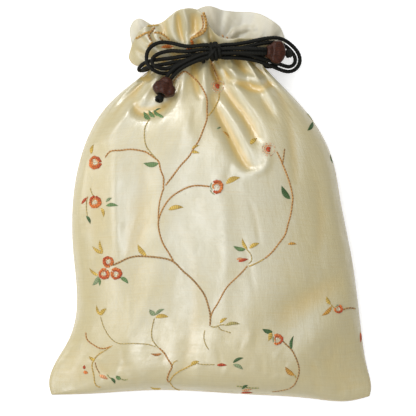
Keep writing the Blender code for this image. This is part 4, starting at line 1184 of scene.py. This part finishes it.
# %% Lines of the vine, in millimetres
# A stem is its dye, its width and the points of its line. A leaf or bud is its dye, its width and
# its two ends. A rose is its middle, its radius, how much of its ring is there, the angle in degrees
# of the middle of that arc, and its dye.
STEMS = [
    ("brown", 1.0, [
        (-32.8, 103.7), (-28.5, 108.9), (-25.1, 112.3), (-21.6, 114.0), (-17.3, 111.5), (-13.0, 108.0),
        (-8.6, 102.8), (-5.2, 96.8), (-2.6, 89.0), (-2.6, 81.2), (-2.6, 73.4), (-4.3, 67.4),
        (-6.9, 60.5), (-9.5, 54.4), (-13.8, 47.5), (-17.3, 41.5), (-24.2, 33.7), (-30.2, 25.9),
        (-35.4, 19.0), (-38.0, 15.6),
    ]),
    ("brown", 1.0, [
        (-89.9, 39.7), (-85.5, 44.9), (-77.8, 45.8), (-69.1, 46.7), (-60.5, 45.8), (-54.4, 44.1),
        (-49.2, 40.6), (-44.1, 36.3), (-42.3, 29.4), (-39.7, 22.5), (-39.7, 16.4), (-39.7, 11.2),
    ]),
    ("olive", 0.8, [
        (-51.8, 72.6), (-55.3, 66.5), (-56.2, 57.9), (-54.4, 49.2), (-50.1, 43.2), (-44.1, 36.3),
    ]),
    ("brown", 0.9, [(-40.0, 12.6), (-41.2, 8.6), (-42.8, 2.6), (-43.8, -4.3), (-44.2, -13.5)]),
    ("gold", 0.8, [(46.7, -46.7), (40.0, -50.4), (33.0, -53.4)]),
    ("brown", 1.0, [
        (0.0, 14.7), (-8.6, 15.6), (-17.3, 14.7), (-25.1, 11.2), (-32.8, 6.0), (-38.9, -1.7),
        (-42.3, -8.6), (-44.1, -15.6), (-43.2, -24.2), (-39.7, -34.6), (-35.4, -41.5), (-31.1, -49.2),
    ]),
    ("dark", 1.1, [
        (-83.8, -52.7), (-77.8, -50.1), (-70.8, -46.7), (-63.1, -44.9), (-54.4, -44.9), (-44.1, -45.8),
        (-35.4, -47.5), (-30.2, -50.1), (-24.2, -56.2), (-16.4, -63.1), (-9.5, -70.8), (-4.3, -78.6),
        (-1.7, -86.4), (0.0, -93.3), (0.0, -104.5),
    ]),
    ("brown", 1.0, [
        (57.0, 44.9), (60.5, 38.0), (62.2, 33.7), (65.7, 25.1), (68.3, 17.3), (70.0, 10.4), (70.8, 4.3),
        (70.0, -2.6), (69.1, -8.6), (66.5, -18.1), (63.9, -26.8), (59.6, -32.8), (52.7, -41.5),
        (46.7, -46.7),
    ]),
    ("brown", 0.9, [
        (32.0, -52.7), (28.5, -57.0), (21.6, -63.9), (14.7, -70.8), (9.5, -79.5), (5.2, -87.3),
        (1.7, -93.3), (0.0, -100.2),
    ]),
    ("dark", 0.9, [(63.9, 47.5), (63.1, 41.5), (62.2, 34.6)]),
    ("olive", 0.7, [(0.0, -104.5), (4.3, -105.4), (8.6, -103.7), (13.0, -103.7)]),
    ("olive", 0.6, [(6.9, -104.5), (8.6, -107.1), (13.0, -108.9)]),
    ("olive", 0.6, [(-4.3, -108.0), (-5.2, -114.0), (-3.5, -121.0), (-0.9, -125.3)]),
    ("olive", 0.7, [
        (-47.5, -97.6), (-49.2, -104.5), (-50.1, -112.3), (-48.4, -118.4), (-44.1, -123.6),
    ]),
    ("brown", 1.0, [
        (-44.1, -123.6), (-38.9, -128.7), (-35.4, -134.8), (-32.8, -140.0), (-34.6, -144.3),
        (-36.3, -148.6), (-36.3, -152.9), (-34.6, -153.8),
    ]),
    ("gold", 0.9, [
        (-34.6, -153.8), (-33.7, -151.2), (-30.2, -146.9), (-25.1, -143.4), (-19.9, -140.8),
        (-14.7, -138.2),
    ]),
    ("olive", 0.6, [(-11.2, -137.4), (-4.3, -138.2), (4.3, -138.2)]),
    ("gold", 0.7, [(-34.6, -153.8), (-32.0, -158.1), (-25.9, -161.6)]),
    ("olive", 0.6, [
        (-94.2, -96.8), (-91.6, -105.4), (-87.3, -113.2), (-82.1, -118.4), (-77.8, -120.1),
        (-71.7, -120.1), (-60.5, -120.1), (-51.8, -121.0), (-46.7, -122.7),
    ]),
    ("brown", 0.9, [
        (-107.1, -110.6), (-106.3, -116.6), (-100.2, -121.8), (-95.0, -124.4), (-89.9, -124.4),
        (-85.5, -122.7),
    ]),
    ("gold", 0.8, [
        (-91.6, -127.0), (-97.6, -131.3), (-100.2, -134.8), (-102.0, -139.1), (-101.1, -145.2),
        (-100.2, -151.2), (-98.5, -157.2), (-94.2, -159.0),
    ]),
    ("dark", 0.7, [(-99.4, -136.5), (-97.6, -142.6), (-95.0, -146.9)]),
    ("dark", 0.9, [
        (62.2, -117.5), (65.7, -121.0), (70.0, -125.3), (73.4, -131.3), (76.0, -138.2), (76.9, -143.4),
        (75.2, -151.2), (72.6, -156.4), (68.3, -159.8),
    ]),
    ("dark", 0.7, [(68.3, -159.8), (60.5, -161.6), (53.6, -162.4)]),
    ("gold", 0.8, [(74.3, -150.3), (72.6, -146.9)]),
    ("dark", 1.0, [(114.0, -91.6), (118.4, -89.9), (126.1, -90.7)]),
    ("gold", 0.7, [(103.7, -86.4), (106.3, -89.0), (108.0, -90.7)]),
    ("brown", 1.1, [(0.9, 124.4), (2.6, 118.4), (5.2, 113.2), (7.8, 107.1)]),
    ("gold", 0.9, [(7.8, 95.9), (7.8, 91.6), (6.0, 86.4), (1.7, 79.5), (-1.7, 75.2)]),
    ("olive", 0.7, [(31.1, -38.9), (33.7, -41.5), (35.4, -44.9), (35.4, -48.4), (32.8, -51.0)]),
    ("green", 0.7, [(-76.9, -151.2), (-73.4, -152.1), (-70.8, -151.2)]),
    ("green", 0.7, [(-89.0, -146.9), (-86.4, -150.3), (-82.9, -152.1)]),
    ("green", 0.8, [(22.5, -157.2), (29.4, -158.1), (36.3, -159.0), (42.3, -159.0)]),
    ("olive", 0.7, [(-102.8, 13.8), (-102.0, 10.4), (-100.2, 6.9)]),
    ("olive", 0.7, [(-105.4, 6.9), (-106.3, -1.7), (-105.4, -10.4)]),
    ("olive", 0.7, [(13.0, -108.9), (18.1, -110.6)]),
    ("green", 0.8, [(83.8, 78.6), (86.4, 75.2), (89.0, 71.7)]),
    ("gold", 0.8, [(-50.1, 119.2), (-49.2, 116.6)]),
    ("green", 0.7, [(0.0, 12.1), (1.7, 9.5), (4.3, 7.8)]),
    ("gold", 0.6, [(-91.6, -127.0), (-87.3, -124.4), (-83.8, -121.8)]),
    ("gold", 0.6, [(-32.8, -140.0), (-30.2, -135.6), (-27.6, -134.8)]),
]
RUFFLE_STEMS = [
    ("amber", 2.0, [
        (-6.0, 165.0), (-4.3, 160.7), (-3.5, 156.4), (-3.5, 152.1), (-5.2, 148.6), (-8.6, 146.0),
        (-13.0, 144.3), (-17.3, 141.7),
    ]),
    ("brown", 1.1, [(-7.4, 163.0), (-6.0, 157.5), (-6.2, 152.0), (-8.4, 148.6), (-12.5, 146.0)]),
    ("gold", 1.2, [(-54.4, 153.4), (-51.0, 153.8), (-47.5, 154.2), (-44.1, 154.4)]),
    ("dark", 1.5, [(-47.5, 152.9), (-50.1, 149.5), (-52.7, 146.0), (-50.1, 140.8)]),
    ("amber", 1.4, [(-64.4, 142.6), (-59.6, 145.2), (-54.4, 147.7), (-50.1, 148.6)]),
    ("amber", 1.3, [(-48.4, 147.7), (-43.2, 147.7), (-38.9, 145.2), (-34.6, 141.7)]),
    ("dark", 1.2, [(-44.0, 144.5), (-40.0, 140.5), (-35.5, 138.5), (-29.0, 139.5)]),
    ("brown", 1.1, [(10.4, 146.0), (11.7, 143.4)]),
    ("brown", 1.1, [(13.8, 144.3), (15.6, 142.6)]),
    ("amber", 1.1, [(-49.2, 140.0), (-52.7, 136.5), (-53.6, 132.2)]),
]
LEAVES = [
    ("green", 1.9, (-51.8, 73.4), (-57.0, 79.5)), ("green", 1.9, (-47.5, 74.3), (-52.7, 80.8)),
    ("green", 1.7, (-43.2, 75.2), (-48.4, 81.2)), ("green", 1.4, (-39.7, 74.3), (-45.8, 78.6)),
    ("deep", 0.9, (-47.5, 79.5), (-42.3, 82.1)), ("green", 1.4, (-51.0, 73.0), (-57.0, 75.2)),
    ("green", 2.5, (-44.1, 34.6), (-57.0, 35.0)), ("green", 1.7, (-89.0, -1.7), (-78.6, -1.7)),
    ("sage", 1.4, (-89.0, 1.7), (-83.8, 5.2)), ("deep", 1.6, (-106.3, -10.4), (-102.8, -17.3)),
    ("sage", 2.2, (-95.9, -62.2), (-101.1, -70.0)), ("green", 1.4, (-95.9, -63.1), (-95.0, -70.4)),
    ("green", 2.0, (-76.9, -63.1), (-70.0, -68.3)), ("sage", 2.4, (-46.7, -95.0), (-51.8, -90.3)),
    ("sage", 1.6, (-46.7, -95.0), (-38.9, -89.9)), ("deep", 1.6, (-85.5, -150.3), (-82.1, -155.5)),
    ("green", 2.1, (-76.9, -151.2), (-81.2, -148.2)), ("deep", 1.6, (19.9, -136.5), (28.9, -132.2)),
    ("sage", 1.9, (19.9, -138.2), (28.5, -142.6)), ("deep", 1.6, (27.6, -159.8), (32.8, -156.4)),
    ("deep", 2.2, (53.6, -109.7), (44.9, -107.1)), ("deep", 1.6, (70.0, -125.3), (71.7, -113.2)),
    ("deep", 1.9, (89.0, 70.8), (83.8, 63.1)), ("deep", 1.0, (106.2, 35.6), (104.4, 42.6)),
    ("deep", 2.7, (68.7, 4.3), (61.3, 15.6)), ("green", 2.0, (30.2, -38.9), (19.9, -35.9)),
    ("gold", 2.1, (-102.0, 43.2), (-100.2, 51.0)), ("gold", 2.2, (-35.4, -5.2), (-22.5, -3.0)),
    ("gold", 1.7, (-93.3, -3.5), (-91.2, -11.2)), ("gold", 1.7, (-91.6, -42.3), (-101.1, -36.3)),
    ("gold", 1.6, (-91.6, -41.5), (-94.6, -31.1)), ("gold", 1.5, (-95.9, -61.3), (-103.7, -55.3)),
    ("gold", 2.4, (-54.4, -44.1), (-61.8, -34.6)), ("gold", 1.5, (-94.2, -95.9), (-97.6, -87.3)),
    ("gold", 2.0, (-94.2, -95.9), (-89.0, -89.9)), ("gold", 2.1, (-46.7, -97.2), (-35.4, -96.8)),
    ("brown", 1.3, (-41.5, -128.7), (-51.0, -128.7)), ("gold", 1.7, (-99.4, -134.8), (-104.5, -131.8)),
    ("gold", 1.6, (-42.3, -159.8), (-51.8, -158.5)), ("gold", 2.0, (-16.4, -138.7), (-9.1, -135.6)),
    ("gold", 1.6, (8.6, -102.0), (14.7, -97.6)), ("olive", 1.7, (13.0, -104.1), (25.9, -102.8)),
    ("gold", 2.2, (51.8, -109.7), (50.1, -117.5)), ("amber", 2.3, (72.6, -147.7), (64.8, -140.0)),
    ("gold", 1.8, (103.7, -86.4), (100.2, -79.5)), ("amber", 2.0, (104.5, -88.1), (95.9, -95.9)),
    ("gold", 2.2, (34.6, 51.0), (40.6, 56.2)), ("gold", 2.6, (13.8, 17.3), (25.9, 22.5)),
    ("gold", 1.6, (32.0, -38.9), (27.6, -29.4)), ("gold", 1.9, (33.7, -38.0), (42.3, -33.7)),
    ("amber", 1.3, (66.5, -34.6), (74.3, -34.6)), ("gold", 1.3, (-15.6, 46.7), (-9.1, 50.1)),
    ("gold", 1.5, (-16.4, 44.1), (-9.1, 43.2)), ("amber", 1.0, (11.2, 62.2), (16.4, 56.2)),
    ("sage", 0.9, (6.0, 63.9), (9.5, 65.7)),
]
BUDS = [
    ("red", 2.2, (24.2, -49.2), (32.8, -47.1)), ("coral", 1.7, (22.5, -47.5), (28.5, -46.7)),
    ("red", 2.2, (6.0, -138.7), (14.7, -138.7)), ("coral", 2.5, (-95.9, -148.2), (-88.1, -151.6)),
    ("red", 1.9, (-110.6, 0.0), (-104.5, 6.0)), ("red", 2.2, (26.8, -163.7), (37.2, -163.3)),
    ("coral", 1.4, (27.6, -161.6), (36.3, -160.3)), ("red", 2.0, (-108.9, -143.0), (-108.4, -139.5)),
    ("orange", 2.4, (-109.7, -145.6), (-105.4, -146.4)), ("red", 2.2, (130.5, -111.5), (130.5, -120.1)),
    ("orange", 2.4, (-42.3, 135.2), (-31.1, 136.1)), ("orange", 2.1, (-16.4, 142.1), (-14.7, 136.1)),
    ("orange", 1.6, (-20.7, 133.5), (-14.7, 134.8)),
]
ROSES = [
    ((-98.5, 35.4), 4.7, 1.0, 180, "orange"), ((-98.5, 1.7), 4.5, 1.0, 270, "orange"),
    ((5.6, 14.7), 4.8, 0.72, 0, "orange"), ((-87.3, -49.7), 4.0, 1.0, 120, "red"),
    ((-90.7, -60.0), 4.0, 1.0, 240, "red"), ((-80.4, -59.6), 4.2, 1.0, 330, "red"),
    ((50.1, 46.7), 1.7, 1.0, 0, "red"), ((57.9, -116.2), 4.0, 0.75, 0, "red"),
    ((110.6, -90.3), 3.2, 0.8, 300, "red"), ((6.5, 101.5), 1.7, 1.0, 0, "red"),
]
# The dyes of the floss, as linear colours
DYES = {
    "brown": (0.44, 0.18, 0.042), "dark": (0.29, 0.135, 0.042), "olive": (0.41, 0.34, 0.12),
    "gold": (0.58, 0.39, 0.08), "amber": (0.5, 0.255, 0.045), "green": (0.15, 0.25, 0.09),
    "deep": (0.06, 0.125, 0.038), "sage": (0.25, 0.31, 0.16), "red": (0.47, 0.07, 0.018),
    "orange": (0.68, 0.2, 0.042), "coral": (0.7, 0.32, 0.14), "cream": (0.74, 0.67, 0.5),
}

# %% Lay points on the cloth
front_slope = unit(np.cross(np.gradient(front, axis=1), np.gradient(front, axis=0)))


def on_front(flat):
    """Points of the front above flat (x, y) places, and the cloth's normals there. The nearest of
    every sixth grid point is found first, and then the nearest in a window of 15 x 15 round it.
    Each height is that point's, corrected by the slope of the cloth there."""
    coarse = front[::6, ::6, :2].reshape(-1, 2)
    first = ((flat[:, None] - coarse[None]) ** 2).sum(axis=-1).argmin(axis=1)
    i, j = np.divmod(first, len(range(0, front.shape[1], 6)))
    window = np.arange(-7, 8)
    i = np.clip(6 * i[:, None, None] + window[None, :, None], 0, front.shape[0] - 1)
    j = np.clip(6 * j[:, None, None] + window[None, None, :], 0, front.shape[1] - 1)
    apart = ((front[i, j, :2] - flat[:, None, None]) ** 2).sum(axis=-1).reshape(len(flat), -1)
    best = apart.argmin(axis=1)[:, None]
    i, j = np.broadcast_arrays(i, j)
    i, j = (np.take_along_axis(k.reshape(len(flat), -1), best, axis=1)[:, 0] for k in (i, j))
    near, up = front[i, j], front_slope[i, j]
    slope = np.clip(-up[:, :2] / np.maximum(up[:, 2:], 0.25), -1.5, 1.5)
    height = near[:, 2] + ((flat - near[:, :2]) * slope).sum(axis=1)
    return np.column_stack([flat, height]), up


def laid(flat, step, lift=0.00012):
    """A flat line in millimetres, laid on the front as a path with its directions."""
    points = np.array([(x, y, 0.0) for x, y in flat]) / 1000
    path = even_path(points, step)
    spots, up = on_front(path[:, :2])
    for _ in range(2):
        up[1:-1] = (up[:-2] + up[1:-1] + up[2:]) / 3
    up = unit(up)
    spots = spots + lift * up
    forward = unit(np.gradient(spots, axis=0))
    across = unit(np.cross(forward, up))
    return spots, across, np.cross(across, forward)


# %% Stems
STITCH = 0.0026  # length of one stem stitch
PALE_PLY = (0.76, 0.50, 0.18)  # the gold thread that is twisted with each stem's own colour
STEM_RADIUS = 0.00068  # of a stem of width 1
STEM_STEP, STEM_SIDES = 0.00034, 8
SMALL_ROSE = 2.4  # a rose of less than this radius, in mm, is a bud
LEAF_SIDES, COIL_SIDES = 14, 12
LEAF_STEP, LEAF_STITCH, LEAF_SLANT, LEAF_THICK = 0.00016, 0.00062, 0.0011, 0.00055
WINDING, COIL_STEP = 0.00078, 0.00020  # one turn of the thread round a bullion knot
FLOSS_RINGS = 5.2  # rings of a leaf from a light stretch of its floss to a dark one
COIL_TURN = 0.0021  # metres from one light stretch of a rose's thread to the next


def on_rings(values, sides):
    """A value for each point of a tube, out of one for each point of its path. The closing rings at
    both ends repeat the first and the last."""
    return np.repeat(np.concatenate([values[:1], values, values[-1:]]), sides)[:, None]


def stem_stitch(s, angle):
    """Rope relief: 1 + 0.22 cos(s / pitch - angle), so that each stitch slants across the stem."""
    return 1.0 + 0.22 * np.cos(2 * math.pi * s / STITCH - angle)


def stem(dye, width, line):
    """One stem: a thin rope that tapers at its ends, of a dark and a light thread twisted together."""
    path, across, up = laid(line, STEM_STEP)
    taper = blunt(len(path), 5) * width * STEM_RADIUS
    rope = tube(path, across, up, taper, 0.75 * taper, STEM_SIDES, DYES[dye], stem_stitch)
    ring = np.concatenate([[0], np.arange(len(path)), [len(path) - 1]])[:, None] * STEM_STEP
    turn = ring / STITCH - 0.4 * np.arange(STEM_SIDES) / STEM_SIDES
    twist = 0.5 + 0.5 * np.tanh(1.4 * np.cos(2 * math.pi * turn))
    own, twist = np.array(DYES[dye]), twist.reshape(-1, 1)
    rope.dye = 0.76 * own * (1 - twist) + (0.5 * own + 0.5 * np.array(PALE_PLY)) * twist
    return rope


silk_thread = Finish("embroidery_silk")
dyed = silk_thread.node("ShaderNodeAttribute", {"attribute_name": "dye"})
strand_noise = silk_thread.noise(silk_thread.place((2400.0, 2400.0, 2400.0)), 1.0, 2.0)
shade = silk_thread.noise(silk_thread.place(), 240.0, 1.0)
darker = silk_thread.mix(1.0, dyed, (0.62, 0.58, 0.55), "MULTIPLY")
silk_thread.finish(
    Base_Color=silk_thread.mix(silk_thread.between(shade, 0.35, 0.65) * 0.55, dyed, darker),
    Roughness=strand_noise * 0.2 + 0.34,
    Sheen_Weight=0.08,
    Sheen_Roughness=0.3,
    Specular_IOR_Level=0.35,
    Normal=silk_thread.bump(strand_noise, 0.00008),
)
ropes = joined([stem(*item) for item in STEMS + RUFFLE_STEMS])
stems = piece("vine_stems", ropes, silk_thread.material)


# %% Leaves and buds
def leaf(dye, width, start, end, bow=0.10, full=1.75):
    """A leaf of satin stitch: a flat tube whose width is W sin(pi t^0.82)^0.9, with ridges that
    slant back from its midrib, 1 + 0.10 cos(s - slant |cos a|), and a groove along the middle."""
    start, end = np.array(start), np.array(end)
    span = end - start
    middle = (start + end) / 2 + bow * np.array([-span[1], span[0]])
    path, across, up = laid([tuple(start), tuple(middle), tuple(end)], LEAF_STEP, 0.0001)
    t = np.linspace(0.0, 1.0, len(path))
    wide = np.maximum(0.5 * full * width / 1000 * np.sin(math.pi * t**0.82) ** 0.9, 0.00014)
    thick = np.minimum(LEAF_THICK, 0.55 * wide)

    def stitches(s, angle):
        ridge = 0.10 * np.cos(2 * math.pi * (s - LEAF_SLANT * np.abs(np.cos(angle))) / LEAF_STITCH)
        return 1.0 + ridge - 0.16 * np.exp(-((np.cos(angle) / 0.22) ** 2))

    patch = tube(path, across, up, wide, thick, LEAF_SIDES, DYES[dye], stitches)
    floss = 0.5 + 0.5 * np.cos(math.pi * np.arange(len(path) + 2) / FLOSS_RINGS)
    floss = np.repeat(floss, LEAF_SIDES)[:, None]
    patch.dye = patch.dye * (1.12 - 0.34 * on_rings(t, LEAF_SIDES)) * (0.72 + 0.62 * floss)
    return patch


leaves = piece("vine_leaves", joined([leaf(*item) for item in LEAVES]), silk_thread.material)
slim_leaves = joined([leaf(*item, bow=0.04, full=1.3) for item in BUDS])
buds = piece("vine_buds", slim_leaves, silk_thread.material)


# %% Roses
def bullion(s, angle):
    """Thread wound round a core: 1 + 0.12 cos(s / pitch + angle)."""
    return 1.0 + 0.12 * np.cos(2 * math.pi * s / WINDING + angle)


def coil(centre, radius, thick, start, sweep, dye, other=None, lumps=0):
    """An arc of a bullion knot round centre, from the angle start over sweep, in degrees. It fades
    from one dye to another and back, and may swell into lumps like petals."""
    turn = np.radians(start + np.linspace(0.0, sweep, max(8, int(abs(sweep) / 6))))
    radius = radius * (1 + 0.05 * np.sin(3 * turn + centre[0]))
    line = np.column_stack([centre[0] + radius * np.cos(turn), centre[1] + radius * np.sin(turn)])
    path, across, up = laid(line, COIL_STEP, 0.00030)
    t = np.linspace(0.0, 1.0, len(path))
    swell = 0.16 * np.cos(2 * math.pi * lumps * t) if lumps else 0.0
    size = thick / 2000 * blunt(len(path), 6) * (1 + swell)
    patch = tube(path, across, up, size, 0.8 * size, COIL_SIDES, DYES[dye], bullion)
    if other:
        share = on_rings(0.5 - 0.5 * np.cos(2 * math.pi * t), COIL_SIDES)
        patch.dye = np.array(DYES[dye]) * (1 - share) + np.array(DYES[other]) * share
    thread = on_rings(0.5 + 0.5 * np.cos(2 * math.pi * along(path) / COIL_TURN), COIL_SIDES)
    patch.dye = patch.dye * (0.76 + 0.50 * thread)
    return patch


def rose(centre, radius, full, strong, dye):
    """A rose: an outer ring of petals, a thin ring inside it, and a pale curl in the open middle.
    Where the ring isn't full, sage and gold threads close it. A bud is a heart in a pale halo."""
    radius = radius * 1.22
    if radius < SMALL_ROSE:
        halo = [coil(centre, radius * 2.6, 0.7, a, 74, "coral", "cream") for a in (10, 100, 190, 280)]
        heart = [coil(centre, radius * 0.5, radius * 1.3, strong, 340, dye)]
        return joined(halo + heart + [coil(centre, radius * 1.75, 0.8, 40, 250, "coral")])
    other = "red" if dye == "orange" else "orange"
    sweep = 352 * full
    first = strong - sweep / 2
    rings = [
        coil(centre, radius * 0.79, radius * 0.42, first, sweep, other, dye, 7),
        coil(centre, radius * 0.49, radius * 0.24, first + 130, sweep * 0.9, "coral", dye, 9),
        coil(centre, radius * 0.22, radius * 0.16, first + 40, 330, "cream"),
    ]
    if full < 1.0:
        rings.append(coil(centre, radius * 0.85, 0.8, first + sweep + 12, 336 - sweep, "sage"))
        rings.append(coil(centre, radius * 0.60, 0.8, first + sweep + 18, 320 - sweep, "gold"))
    return joined(rings)


roses = piece("vine_roses", joined([rose(*item) for item in ROSES]), silk_thread.material)
